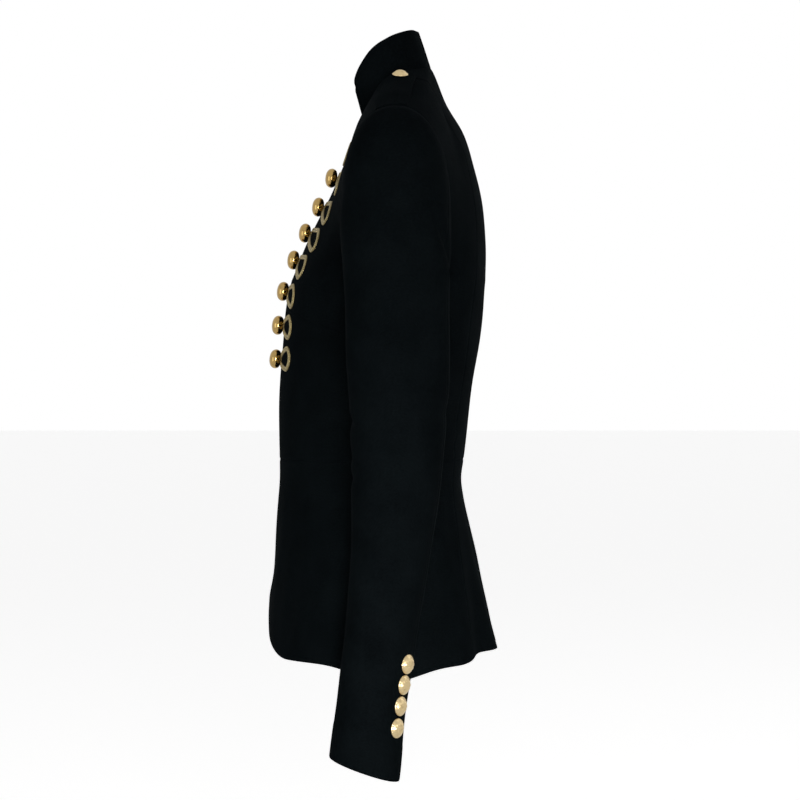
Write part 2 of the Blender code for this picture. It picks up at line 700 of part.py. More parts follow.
def add_front_buttons(surface):
    lift = math.radians(FRONT_BUTTON_LIFT)
    axis = np.array((0.0, -math.cos(lift), math.sin(lift)))
    for number, frog in enumerate(FROGS):
        if number == 0:
            continue
        place, normal = on_front(surface, edge_at(frog.height) + SEAM_GAP, frog.height)
        lean = math.acos(min(1.0, abs(float(axis @ (normal / np.linalg.norm(normal))))))
        stand = SEAT_GAP + BALL_PROFILE[0].radius * math.tan(lean)
        foot = np.array((0.0, place[1], place[2])) + stand * axis
        add_button(f"front_button_{number}", BALL_PROFILE, foot, axis, POLISHED_GOLD)


def on_sleeve(height, degrees):
    """The point of the sleeve at a height and an angle, and its normal."""
    places = np.linspace(len(SLEEVE) / 2, len(SLEEVE) - 1, ROW_STEPS)
    heights = [sleeve_ring(between_rows(SLEEVE, place), degrees)[0, 2] for place in places]
    place = float(np.interp(-height, -np.array(heights), places))
    point = sleeve_ring(between_rows(SLEEVE, place), degrees)[0]
    down = sleeve_ring(between_rows(SLEEVE, place + SLOPE_STEP), degrees)[0]
    up = sleeve_ring(between_rows(SLEEVE, place - SLOPE_STEP), degrees)[0]
    beside = sleeve_ring(between_rows(SLEEVE, place), degrees + 1)[0]
    normal = np.cross(down - up, beside - point)
    return point, normal / np.linalg.norm(normal)


def add_cuff_buttons():
    for number, seat in enumerate(CUFF_SEATS, 1):
        point, normal = on_sleeve(seat.height, seat.angle)
        for side_name, side in SIDES:
            mirror = np.array((side, 1.0, 1.0))
            foot = (point + SEAT_GAP * normal) * mirror
            name = f"cuff_button_{number}_{side_name}"
            add_button(name, CUFF_PROFILE, foot, normal * mirror, SATIN_GOLD)


def tab_grid(surface):
    xs = column(TAB, "x")
    share = np.linspace(0, 1, TAB_ROWS + 1)
    steps = np.abs(np.diff(xs)) + np.abs(np.diff(column(TAB, "half_width")))
    knots = np.concatenate([[0.0], np.cumsum(steps)])
    at = knots[-1] * share
    grid = np.empty((TAB_ROWS + 1, TAB_COLUMNS + 1, 3))
    for i, place in enumerate(at):
        x = float(np.interp(place, knots, xs))
        middle = float(np.interp(place, knots, column(TAB, "y")))
        half = float(np.interp(place, knots, column(TAB, "half_width")))
        for j, across in enumerate(np.linspace(-1, 1, TAB_COLUMNS + 1)):
            grid[i, j] = on_shoulder(surface, x, middle + across * half)[0]
    return grid


def add_epaulettes(surface):
    grid = tab_grid(surface)
    add_pair("epaulette", grid, outward_normals(grid, 1), 1, TAB_THICK, TAB_LIFT + TAB_THICK)
    middle = np.interp(-TAB_BUTTON_X, -np.array(column(TAB, "x")), column(TAB, "y"))
    place, normal = on_shoulder(surface, TAB_BUTTON_X, float(middle))
    for side_name, side in SIDES:
        mirror = np.array((side, 1.0, 1.0))
        foot = (place + (TAB_LIFT + TAB_THICK + SEAT_GAP) * normal) * mirror
        name = f"epaulette_button_{side_name}"
        add_button(name, CUFF_PROFILE, foot, normal * mirror, SATIN_GOLD, EPAULETTE_BUTTON_SCALE)


def main():
    clear_scene()
    grids, turns = body_grids()
    surface = surface_of([grids["front"], grids["side"], grids["back"]])
    add_body(grids, turns)
    add_sleeves()
    add_collar(neckline(grids))
    add_loops(surface)
    add_front_buttons(surface)
    add_cuff_buttons()
    add_epaulettes(surface)


main()
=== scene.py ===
import math

import bpy
import numpy as np
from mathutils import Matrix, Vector
from mathutils.bvhtree import BVHTree


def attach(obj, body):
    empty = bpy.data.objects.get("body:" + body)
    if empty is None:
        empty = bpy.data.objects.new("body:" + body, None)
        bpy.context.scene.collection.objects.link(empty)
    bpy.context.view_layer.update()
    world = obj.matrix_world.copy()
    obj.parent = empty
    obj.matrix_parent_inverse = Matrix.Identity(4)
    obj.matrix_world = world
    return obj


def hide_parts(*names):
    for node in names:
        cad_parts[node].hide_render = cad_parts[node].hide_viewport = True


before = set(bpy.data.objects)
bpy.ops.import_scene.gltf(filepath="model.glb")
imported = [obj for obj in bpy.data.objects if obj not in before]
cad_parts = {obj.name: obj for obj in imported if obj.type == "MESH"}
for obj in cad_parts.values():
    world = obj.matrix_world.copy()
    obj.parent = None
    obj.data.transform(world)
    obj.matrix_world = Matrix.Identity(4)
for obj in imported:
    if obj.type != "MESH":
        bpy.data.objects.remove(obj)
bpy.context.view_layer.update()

print("frame loaded,", len(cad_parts), "nodes")

# the jacket in its own frame: front to -Y, the wearer's left to +X, metres
sides = {"left": 1.0, "right": -1.0}
frontFace, backFace = -1.0, 1.0

# the view of the photograph: level, from the wearer's left
view = {"distance": 2.7, "height": -0.306, "lens": 119.07, "sensor": 36.0}


def setCamera():
    lens = bpy.data.cameras.new("camera")
    lens.lens, lens.sensor_width = view["lens"], view["sensor"]
    camera = bpy.data.objects.new("camera", lens)
    camera.location = (view["distance"], 0.0, view["height"])
    camera.rotation_euler = (math.pi / 2, 0.0, math.pi / 2)
    bpy.context.scene.collection.objects.link(camera)
    bpy.context.scene.camera = camera


setCamera()


# tables with named columns, read smoothly between their rows

class Rows:
    def __init__(self, names, *rows):
        self.names = names.split()
        self.values = np.array(rows, float)
        self.last = len(rows) - 1

    def column(self, name):
        return self.values[:, self.names.index(name)]

    def read(self, at, knots=None):
        knots = np.arange(self.last + 1.0) if knots is None else knots
        return {name: smoothAt(knots, self.column(name), at) for name in self.names}


def smoothAt(knots, values, at):
    slopes = np.gradient(values, knots)
    place = np.clip(np.searchsorted(knots, at, side="right") - 1, 0, len(knots) - 2)
    span = knots[place + 1] - knots[place]
    part = (at - knots[place]) / span
    first = (1 + 2 * part) * (1 - part) ** 2 * values[place]
    last = part**2 * (3 - 2 * part) * values[place + 1]
    bend = part * (1 - part) ** 2 * slopes[place] - part**2 * (1 - part) * slopes[place + 1]
    return first + last + bend * span


def softStep(value):
    value = np.clip(value, 0, 1)
    return value * value * (3 - 2 * value)


def bell(at, middle, spread):
    return np.exp(-(((at - middle) / spread) ** 2))


def unit(vectors):
    return vectors / np.linalg.norm(vectors, axis=-1, keepdims=True)


def mirror(side):
    return np.array((side, 1.0, 1.0))


def wayAlong(points, axis=0):
    steps = np.linalg.norm(np.diff(points, axis=axis), axis=-1)
    return np.insert(np.cumsum(steps, axis=axis), 0, 0.0, axis=axis)


def pointsAt(points, way, at):
    return np.stack([np.interp(at, way, column) for column in points.T], axis=1)


# the cut of the body, level by level, and of the shoulders above the underarm

body = {
    "waist": -0.366, "underarm": -0.185, "hem": -0.5565,
    "yokePower": 2.2, "backPower": 2.4, "rowSteps": 161, "neckPlace": 0.75,
    "cornerWidth": 0.115, "cornerRise": 0.055, "cornerPower": 1.7, "hemTilt": 0.033,
    "sideDip": 0.018, "dipSpread": {"front": 0.165, "side": 0.20, "back": 0.20},
    "backDip": 0.0055, "backDipPlace": 0.65, "backDipSpread": 0.14,
    "flareHollow": 0.070, "hollowPlace": 0.46, "flareRidge": 0.022, "ridgePlace": 0.28,
    "flareSpread": 0.10,
    "levels": Rows(
        "height front back halfWidth side frontPower seam",
        (-0.5750, -0.1338, 0.1030, 0.1930, -0.012, 2.10, 0.570),
        (-0.5350, -0.1327, 0.0930, 0.1860, -0.012, 2.10, 0.560),
        (-0.4860, -0.1285, 0.0815, 0.1725, -0.011, 2.05, 0.550),
        (-0.4360, -0.1252, 0.0716, 0.1570, -0.010, 2.00, 0.530),
        (-0.4050, -0.1240, 0.0648, 0.1470, -0.010, 1.95, 0.520),
        (-0.3860, -0.1232, 0.0625, 0.1420, -0.010, 1.90, 0.510),
        (-0.3660, -0.1232, 0.0645, 0.1400, -0.010, 1.90, 0.500),
        (-0.3060, -0.1230, 0.0720, 0.1450, -0.009, 1.85, 0.495),
        (-0.2410, -0.1190, 0.0810, 0.1580, -0.007, 1.84, 0.485),
        (-0.2080, -0.1145, 0.0850, 0.1650, -0.006, 1.96, 0.480),
        (-0.1850, -0.1095, 0.0870, 0.1675, -0.005, 2.10, 0.475)),
    "frontYoke": Rows(
        "x y z arm wrap swell",
        (0.0000, -0.1095, -0.1850, 180, 1.00, 0.000),
        (0.0000, -0.0980, -0.1530, 206, 0.72, 0.001),
        (0.0000, -0.0840, -0.1240, 231, 0.42, 0.002),
        (0.0000, -0.0690, -0.0950, 255, 0.20, 0.001),
        (0.0045, -0.0570, -0.0680, 277, 0.06, 0.002),
        (0.0195, -0.0460, -0.0430, 298, 0.00, 0.003),
        (0.0350, -0.0375, -0.0200, 319, 0.00, 0.003),
        (0.0530, -0.0215, 0.0085, 341, 0.00, 0.002),
        (0.0635, -0.0030, 0.0220, 360, 0.00, 0.000)),
    "backYoke": Rows(
        "x y z arm wrap swell seam",
        (0.0000, 0.0870, -0.1850, 180, 1.00, 0.000, 0.475),
        (0.0000, 0.0868, -0.1480, 156, 0.78, 0.000, 0.515),
        (0.0000, 0.0838, -0.1080, 131, 0.50, 0.001, 0.525),
        (0.0000, 0.0765, -0.0700, 107, 0.24, 0.002, 0.500),
        (0.0000, 0.0650, -0.0335, 83, 0.08, 0.003, 0.460),
        (0.0000, 0.0458, -0.0020, 57, 0.00, 0.003, 0.425),
        (0.0000, 0.0316, 0.0310, 31, 0.00, 0.002, 0.425),
        (0.0370, 0.0235, 0.0285, 14, 0.00, 0.001, 0.320),
        (0.0635, -0.0030, 0.0220, 0, 0.00, 0.000, 0.225)),
}

sleeve = {
    "power": 2.25, "frontScoop": 0.013, "backScoop": 0.005, "scoopPower": 4,
    "backSeam": 72.0, "frontSeam": -110.0, "armholeGap": -0.0006,
    # rows of points down the sleeve, in rings: the first ones, the end of the head, and how many
    "firstRows": (0, 0.05, 0.11, 0.2, 0.3), "headEnd": 8, "headRows": 84, "armRows": 96,
    "cuffRing": 0.033,  # metres between the last two rings
    "rings": Rows(
        "crownX crownZ pitX pitZ middle y front back slant scoop",
        (0.1909, -0.0270, 0.1675, -0.1856, 0.43, -0.0050, 0.0510, 0.0520, 0.0, 1.00),
        (0.2095, -0.0325, 0.1695, -0.1880, 0.44, -0.0045, 0.0515, 0.0525, 0.0, 0.60),
        (0.2280, -0.0500, 0.1710, -0.1915, 0.45, -0.0045, 0.0517, 0.0527, 0.0, 0.25),
        (0.2425, -0.0790, 0.1722, -0.1960, 0.46, -0.0042, 0.0517, 0.0524, 0.0, 0.05),
        (0.2520, -0.1140, 0.1730, -0.2020, 0.47, -0.0040, 0.0512, 0.0516, 0.0, 0.00),
        (0.2572, -0.1520, 0.1738, -0.2100, 0.48, -0.0037, 0.0503, 0.0510, 0.0, 0.00),
        (0.2592, -0.1910, 0.1748, -0.2230, 0.49, -0.0035, 0.0493, 0.0502, 0.0, 0.00),
        (0.2600, -0.2350, 0.1765, -0.2480, 0.50, -0.0030, 0.0485, 0.0497, 0.0, 0.00),
        (0.2612, -0.3030, 0.1800, -0.3030, 0.50, -0.0016, 0.0468, 0.0470, 0.0, 0.00),
        (0.2630, -0.3550, 0.1845, -0.3550, 0.50, -0.0026, 0.0435, 0.0445, 0.5, 0.00),
        (0.2655, -0.4050, 0.1890, -0.4050, 0.50, -0.0048, 0.0400, 0.0402, 2.0, 0.00),
        (0.2692, -0.4600, 0.1945, -0.4600, 0.50, -0.0100, 0.0368, 0.0370, 4.0, 0.00),
        (0.2732, -0.5150, 0.1990, -0.5150, 0.50, -0.0168, 0.0340, 0.0342, 6.0, 0.00),
        (0.2772, -0.5650, 0.2020, -0.5650, 0.50, -0.0238, 0.0328, 0.0328, 9.0, 0.00),
        (0.2805, -0.6150, 0.2045, -0.6150, 0.50, -0.0298, 0.0335, 0.0335, 14.0, 0.00),
        (0.2820, -0.6480, 0.2055, -0.6480, 0.50, -0.0335, 0.0338, 0.0338, 18.7, 0.00)),
}

collar = {
    "wall": 0.0026, "corner": 0.45, "cornerDrop": 0.16, "lowered": 0.0004, "easing": 60,
    "endPart": 0.6, "endColumns": 25, "columns": 46,
    "shoulder": 2,  # the row at the shoulder seam, between the front edge and the middle of the back
    "stands": Rows(
        "x y z",
        (0.0355, -0.0480, 0.0190),
        (0.0510, -0.0300, 0.0445),
        (0.0580, -0.0105, 0.0570),
        (0.0370, 0.0100, 0.0665),
        (0.0000, 0.0190, 0.0698)),
}


def ringPoints(place, degrees):
    ring = sleeve["rings"].read(place)
    turn = np.radians(np.atleast_1d(degrees))
    circle = np.cos(turn), np.sin(turn)
    up, back = (np.sign(part) * np.abs(part) ** (2 / sleeve["power"]) for part in circle)
    pit = np.array((ring["pitX"], ring["y"], ring["pitZ"]))
    crown = np.array((ring["crownX"], ring["y"], ring["crownZ"]))
    centre = pit + ring["middle"] * (crown - pit)
    arm = np.where((up > 0)[:, None], crown - centre, centre - pit) * up[:, None]
    slant = math.radians(ring["slant"])
    across = np.array((0.0, math.cos(slant), -math.sin(slant)))
    points = centre + arm + (np.where(back > 0, ring["back"], ring["front"]) * back)[:, None] * across
    scoop = np.where(back > 0, sleeve["backScoop"], sleeve["frontScoop"]) * ring["scoop"]
    points[:, 0] -= scoop * (1 - np.cos(turn) ** sleeve["scoopPower"])
    return points


def halfRow(start, end, power, wrap, swell, face):
    reach = np.sin(np.linspace(0.0, math.pi / 2, body["rowSteps"]))
    rounded = np.clip(1 - reach**power, 0, 1) ** (1 / power)
    depth = wrap * rounded + (1 - wrap) * (1 - reach ** body["yokePower"])
    x = start[0] + (end[0] - start[0]) * reach
    y = end[1] + (start[1] - end[1]) * depth + face * swell * np.sin(math.pi * reach)
    z = start[2] + (end[2] - start[2]) * reach
    return np.stack([x, y, z], axis=1)


def levelAt(height):
    return body["levels"].read(height, body["levels"].column("height"))


def levelRow(height, face):
    level = levelAt(height)
    power = level["frontPower"] if face == frontFace else body["backPower"]
    start = (0.0, level["front" if face == frontFace else "back"], height)
    return halfRow(start, (level["halfWidth"], level["side"], height), power, 1.0, 0.0, face), level["seam"]


def yokeRow(place, face):
    table = body["frontYoke" if face == frontFace else "backYoke"]
    row = table.read(place * table.last)
    power = levelAt(body["underarm"])["frontPower"] if face == frontFace else body["backPower"]
    start = (max(row["x"], 0.0), row["y"], row["z"])
    wrap = min(max(row["wrap"], 0.0), 1.0)
    return halfRow(start, ringPoints(0, row["arm"])[0], power, wrap, row["swell"], face), row.get("seam")


# how a shell is made: points about a step apart and closer beside its edges, and a thin gap at seams

mesh = {
    "step": 0.0036, "near": np.array((0.0, 0.0007, 0.0016, 0.0030, 0.0048)),
    "gap": 0.00012, "wall": 0.002, "middle": 0.0006, "sharp": 60.0,
    "dartBand": (-0.250, -0.208), "dartStep": 0.0009, "yokeLength": 0.27,
}


def spaced(length, count):
    near = mesh["near"]
    between = np.linspace(near[-1], length - near[-1], count)[1:-1]
    return np.concatenate([near, between, length - near[::-1]])


def along(points, start, end, count):
    way = wayAlong(points)
    at = start * way[-1] + spaced((end - start) * way[-1], count)
    return pointsAt(points, way, at), at / way[-1]


def bodiceLevels():
    near, (dartLow, dartHigh) = mesh["near"], mesh["dartBand"]
    low, high = body["waist"], body["underarm"]
    stretches = (
        (low + near[-1], dartLow, mesh["step"]),
        (dartLow, dartHigh, mesh["dartStep"]),
        (dartHigh, high, mesh["step"]))
    made = [low + near[:-1]]
    for start, end, step in stretches:
        made.append(np.linspace(start, end, round((end - start) / step), endpoint=False))
    return [*np.concatenate(made), high]


def panelRows(panel):
    near, yoke = mesh["near"], mesh["yokeLength"]
    places = np.linspace(0, 1 - near[-1] / yoke, round(yoke / mesh["step"]))[1:]
    places = np.concatenate([places, 1 - near[-2::-1] / yoke])
    face = frontFace if panel == "front" else backFace
    return [*(levelRow(height, face) for height in bodiceLevels()), *(yokeRow(at, face) for at in places)]


def skirtRows(panel):
    low, high = body["hem"], body["waist"]
    face = frontFace if panel == "front" else backFace
    return [levelRow(low + rise, face) for rise in spaced(high - low, round((high - low) / mesh["step"]))]


def panelGrid(rows, panel, count):
    made = []
    for points, seam in rows:
        start, end = {"front": (0, 1), "back": (0, seam), "side": (seam, 1)}[panel]
        made.append(along(points, start, end, count))
    return [np.array(part) for part in zip(*made)]


def flared(grid, shares, panel):
    made = grid.copy()
    height = body["waist"] - body["hem"]
    for row, share in zip(made, shares):
        down = (body["waist"] - row[0, 2]) / height
        if panel == "front":
            gone = np.clip(1 - row[:, 0] / body["cornerWidth"], 0, 1)
            power = body["cornerPower"]
            row[:, 2] += body["cornerRise"] * (1 - (1 - gone**power) ** (1 / power)) * down**3
        else:
            hollow = -body["flareHollow"] * bell(share, body["hollowPlace"], body["flareSpread"])
            ridge = body["flareRidge"] * bell(share, body["ridgePlace"], body["flareSpread"])
            centre = np.array((0.0, levelAt(body["hem"])["side"]))
            row[:, :2] = centre + (row[:, :2] - centre) * (1 + (hollow + ridge) * down**2)[:, None]
            row[:, 2] -= body["backDip"] * bell(share, body["backDipPlace"], body["backDipSpread"]) * down
        row[:, 2] -= body["sideDip"] * bell(share, 1, body["dipSpread"][panel]) * down
        row[:, 2] += body["hemTilt"] * (row[:, 1] - levelAt(body["hem"])["side"]) * down
    return made


def sleeveGrid(start, end, count):
    degrees = np.linspace(start, end, count)
    first, headEnd, last = sleeve["firstRows"], sleeve["headEnd"], sleeve["rings"].last
    cuff = last - mesh["near"][::-1] / sleeve["cuffRing"]
    head = np.linspace(first[-1], headEnd, sleeve["headRows"])
    arm = np.linspace(headEnd, last, sleeve["armRows"])[1:]
    places = np.concatenate([first[:-1], head, arm[arm < cuff[0]], cuff])
    inner = count - 2 * len(mesh["near"])
    grid = np.array([along(ringPoints(place, degrees), 0, 1, inner)[0] for place in places])
    grid[0, :, 0] += sleeve["armholeGap"]
    return grid


def neckPoint(half):
    shoulder, last = collar["shoulder"], collar["stands"].last
    front = half <= shoulder
    share = half / shoulder if front else (last - half) / (last - shoulder)
    place = body["neckPlace"] + (1 - body["neckPlace"]) * share
    return yokeRow(place, frontFace if front else backFace)[0][0]


def collarGrid():
    end = np.linspace(0, collar["endPart"], collar["endColumns"])
    half = np.concatenate([end[:-1], np.linspace(end[-1], collar["stands"].last, collar["columns"])])
    lower = np.array([neckPoint(place) for place in half])
    eased = lower.copy()
    for _ in range(collar["easing"]):  # above the seam the stand turns the corner of the shoulder softly
        eased[1:-1] = (eased[:-2] + 2 * eased[1:-1] + eased[2:]) / 4
    tops = [collar["stands"].read(place) for place in half]
    upper = np.array([(top["x"], top["y"], top["z"]) for top in tops])
    gone = np.clip(1 - half / collar["corner"], 0, 1)
    height = 1 - collar["cornerDrop"] * (1 - np.sqrt(1 - gone**2))
    length = float(np.linalg.norm(upper - lower, axis=1).max())
    shares = spaced(length, round(length / mesh["step"])) / length
    left = []
    for share in shares:
        foot = lower + (eased - lower) * float(softStep(share * 3))  # eased within the lowest third
        rise = upper - foot
        start = -collar["lowered"] / np.linalg.norm(rise, axis=1)
        left.append(foot + rise * (start + (height - start) * share)[:, None])
    left = np.array(left)
    return np.concatenate([left, left[:, -2::-1] * mirror(-1.0)], axis=1)


# the creases of the cloth, listed on the wearer's left: soft troughs (depth below zero) and
# ridges, as start, end, half width and depth in metres; the right side has them a little changed

creases = {
    "lip": 0.5, "wander": 0.30, "stations": 26, "narrow": 0.75, "opened": 0.5, "taper": 0.8,
    "aside": (0.35, 0.5, 0.4), "bends": 5,
    "otherShift": 0.006, "shiftPhase": 2.3, "otherDepth": 0.80, "otherChange": 0.25, "depthPhase": 1.7,
    "sleeve": Rows(
        "x0 y0 z0 x1 y1 z1 width depth",
        (0.250, 0.034, -0.112, 0.206, 0.050, -0.206, 0.0095, -0.0044),   # the fold behind the underarm
        (0.257, 0.012, -0.118, 0.234, 0.040, -0.198, 0.0085, 0.0020),
        (0.205, -0.052, -0.110, 0.186, -0.050, -0.200, 0.0090, -0.0034),  # and in front of it
        (0.250, -0.032, -0.078, 0.256, -0.036, -0.200, 0.0150, -0.0012),
        (0.256, 0.026, -0.085, 0.262, 0.018, -0.235, 0.0160, -0.0015),
        (0.260, -0.008, -0.150, 0.262, -0.014, -0.300, 0.0170, 0.0011),
        (0.190, -0.044, -0.314, 0.252, -0.036, -0.338, 0.0075, -0.0030),  # the inside of the elbow
        (0.186, -0.040, -0.346, 0.236, -0.043, -0.360, 0.0065, -0.0024),
        (0.196, -0.043, -0.386, 0.252, -0.030, -0.370, 0.0070, -0.0018),
        (0.190, 0.036, -0.296, 0.252, 0.034, -0.330, 0.0110, -0.0018),    # the back of the elbow
        (0.262, 0.012, -0.312, 0.266, -0.006, -0.400, 0.0140, -0.0014),
        (0.266, -0.022, -0.400, 0.272, -0.032, -0.520, 0.0120, 0.0010),
        (0.268, 0.012, -0.430, 0.276, -0.006, -0.560, 0.0130, -0.0012),
        (0.196, 0.014, -0.410, 0.200, -0.006, -0.540, 0.0110, -0.0018),
        (0.212, -0.046, -0.480, 0.236, -0.056, -0.600, 0.0090, -0.0013)),
    "body": Rows(
        "x0 y0 z0 x1 y1 z1 width depth",
        (0.166, -0.046, -0.150, 0.104, -0.100, -0.236, 0.0110, -0.0024),  # from the armhole to the bust
        (0.166, -0.030, -0.178, 0.124, -0.086, -0.262, 0.0090, -0.0017),
        (0.166, 0.036, -0.160, 0.122, 0.070, -0.240, 0.0110, -0.0020),    # and to the shoulder blade
        (0.166, 0.014, -0.196, 0.140, 0.060, -0.268, 0.0090, -0.0015),
        (0.146, -0.020, -0.312, 0.098, -0.098, -0.336, 0.0085, -0.0017),  # across the side of the waist
        (0.142, 0.004, -0.336, 0.084, 0.062, -0.326, 0.0080, -0.0020),
        (0.142, -0.014, -0.350, 0.060, -0.114, -0.357, 0.0065, -0.0012),
        (0.138, 0.018, -0.354, 0.040, 0.066, -0.349, 0.0070, -0.0018),
        (0.142, -0.024, -0.376, 0.122, -0.084, -0.430, 0.0090, -0.0016),  # from the waist over the hip
        (0.142, 0.004, -0.378, 0.156, 0.040, -0.470, 0.0110, -0.0020),
        (0.110, 0.046, -0.384, 0.130, 0.066, -0.500, 0.0110, -0.0017),
        (0.150, -0.060, -0.420, 0.166, -0.080, -0.550, 0.0160, 0.0016),
        (0.100, -0.105, -0.410, 0.116, -0.112, -0.555, 0.0150, -0.0014),
        (0.052, -0.122, -0.390, 0.060, -0.128, -0.550, 0.0160, 0.0010),
        (0.050, 0.068, -0.395, 0.056, 0.098, -0.550, 0.0140, -0.0013),
        (0.095, -0.030, -0.010, 0.122, -0.050, -0.120, 0.0150, -0.0012),  # under the shoulder
        (0.072, 0.040, 0.000, 0.118, 0.060, -0.090, 0.0170, -0.0013)),
}

# the dart that shapes the bust: a stitched line round from the side seam, which fades out at its end
dart = {
    "from": (0.160, -0.010, -0.2470), "to": (0.030, -0.115, -0.2110), "width": 0.0011, "depth": -0.0008,
    "fade": 6, "within": 0.01,
}

# soft waves that no cloth is without: direction x, y, z, length of the wave and height in metres
waves = {
    "phase": 1.7,
    "rows": Rows(
        "x y z length height",
        (0.3, 0.2, 1.0, 0.116, 0.00035),
        (1.0, -0.6, 0.4, 0.083, 0.00030),
        (-0.5, 1.0, 0.7, 0.061, 0.00022),
        (0.8, 0.9, -1.0, 0.047, 0.00015)),
}


def surfaceOf(grids):
    points, faces = [], []
    for grid in grids:
        faces += sheetQuads(*grid.shape[:2], 1, len(points)).tolist()
        points += grid.reshape(-1, 3).tolist()
    return BVHTree.FromPolygons(points, faces)


def pathOnCloth(cloth, start, end, bow=0.0, phase=0.0):
    share = np.linspace(0, 1, creases["stations"])
    line = np.array(end) - np.array(start)
    aside = unit(np.cross(line, creases["aside"]))
    bowed = bow * np.sin(share * creases["bends"] + phase)
    path = np.array(start) + share[:, None] * line + bowed[:, None] * aside
    return np.array([cloth.find_nearest(place)[0] for place in path])


def fromPath(points, path):
    # how far each point lies from the path, and how far along it
    near = np.full(points.shape[:-1], np.inf)
    share = np.zeros(points.shape[:-1])
    for index, (start, end) in enumerate(zip(path[:-1], path[1:])):
        line = end - start
        part = np.clip((points - start) @ line / max(line @ line, 1e-12), 0, 1)
        apart = np.linalg.norm(points - start - part[..., None] * line, axis=-1)
        share = np.where(apart < near, (index + part) / (len(path) - 1), share)
        near = np.minimum(near, apart)
    return near, share


def creaseHeights(points, kind, side, cloth):
    total = np.zeros(points.shape[:-1])
    for index, row in enumerate(creases[kind].values):
        start, end, (width, depth) = row[:3].copy(), row[3:6].copy(), row[6:]
        if side < 0:  # the same fold on the other side lies a little aside and is not as deep
            shift = creases["otherShift"] * math.sin(index * creases["shiftPhase"])
            start[2] += shift
            end[2] += shift / 2
            change = creases["otherChange"] * math.sin(index * creases["depthPhase"])
            depth = depth * (creases["otherDepth"] + change)
        path = pathOnCloth(cloth, start, end, creases["wander"] * width, index)
        apart, share = fromPath(points, path)
        # a fold opens out as it runs
        apart = apart / (width * (creases["narrow"] + creases["opened"] * share))
        taper = np.sin(math.pi * np.clip(share, 0.01, 0.99)) ** creases["taper"]
        lip = creases["lip"] if depth < 0 else 0.0
        total += depth * taper * (1 - lip * apart**2) * bell(apart, 0, 1)
    return total


def dartHeights(points, cloth):
    apart, share = fromPath(points, pathOnCloth(cloth, dart["from"], dart["to"]))
    faded = softStep((1 - share) * dart["fade"])
    return dart["depth"] * bell(apart, 0, dart["width"]) * faded * (apart < dart["within"])


def waveHeights(points):
    total = np.zeros(points.shape[:-1])
    for index, row in enumerate(waves["rows"].values):
        travel = points @ unit(row[:3])
        total += row[4] * np.sin(travel * 2 * math.pi / row[3] + waves["phase"] * index)
    return total


# walls of cloth

def facing(grid, turn):
    across = np.gradient(grid, axis=1, edge_order=2)
    up = np.gradient(grid, axis=0, edge_order=2)
    normals = turn * np.cross(across, up)
    normals[np.abs(grid[:, :, 0]) < mesh["middle"], 0] = 0.0  # square to the middle seams
    return unit(normals)


def borderDistances(grid):
    across, up = wayAlong(grid, 1), wayAlong(grid, 0)
    return across, across[:, -1:] - across, up, up[-1:] - up


edges = {
    # how far the cloth goes down beside an edge, and over what width
    "seam": (0.0005, 0.0026), "armhole": (0.0010, 0.0040),
    "fold": (0.00045, 0.0013), "hem": (0.00045, 0.0013),
    "bulge": 0.0002, "hemDepth": 0.030, "hemStep": 0.0003, "hemBlend": 0.004,
}


def edgeHeights(grid, kinds):
    # kinds: left, right, bottom and top edge
    total = np.zeros(grid.shape[:2])
    for kind, distance in zip(kinds, borderDistances(grid)):
        drop, width = edges[kind]
        total = np.minimum(total, -drop * (1 - softStep(distance / width)))
        if kind == "hem":  # the cloth turned up inside shows as a faint step
            total += edges["hemStep"] * (1 - softStep((distance - edges["hemDepth"]) / edges["hemBlend"]))
    return total


def pulledIn(grid):
    made = grid.copy()
    for lines in (made, made.swapaxes(0, 1)):
        for edge, inner in ((0, 1), (-1, -2)):
            lines[edge] += mesh["gap"] * unit(lines[inner] - lines[edge])
    return made


def quads(first, second, third, fourth, turn):
    made = np.stack([first, second, third, fourth], axis=-1).reshape(-1, 4)
    return made if turn > 0 else made[:, ::-1]


def sheetQuads(rows, columns, turn, offset=0):
    corner = offset + np.arange(rows * columns).reshape(rows, columns)
    return quads(corner[:-1, :-1], corner[:-1, 1:], corner[1:, 1:], corner[1:, :-1], turn)


def borderRing(rows, columns):
    bottom = np.arange(columns)
    right = np.arange(1, rows) * columns + columns - 1
    top = (rows - 1) * columns + np.arange(columns - 2, -1, -1)
    left = np.arange(rows - 2, 0, -1) * columns
    return np.concatenate([bottom, right, top, left])


def addMesh(name, node, points, faces, uv, finish):
    made = bpy.data.meshes.new(name)
    made.from_pydata(points.tolist(), [], faces)
    if uv is not None:
        corners = np.empty(len(made.loops), np.int32)
        made.loops.foreach_get("vertex_index", corners)
        made.uv_layers.new(name="cloth").data.foreach_set("uv", uv[corners].astype(np.float32).reshape(-1))
    made.shade_smooth()
    made.set_sharp_from_angle(angle=math.radians(mesh["sharp"]))
    made.materials.append(finish)
    piece = bpy.data.objects.new(name, made)
    bpy.context.scene.collection.objects.link(piece)
    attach(piece, "root")
    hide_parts(node)
    return piece


def cellArea(grid):
    low, beside, above, far = grid[:-1, :-1], grid[:-1, 1:], grid[1:, :-1], grid[1:, 1:]
    halves = np.cross(above - low, beside - low), np.cross(above - far, beside - far)
    return sum(np.linalg.norm(half, axis=2).sum() / 2 for half in halves)


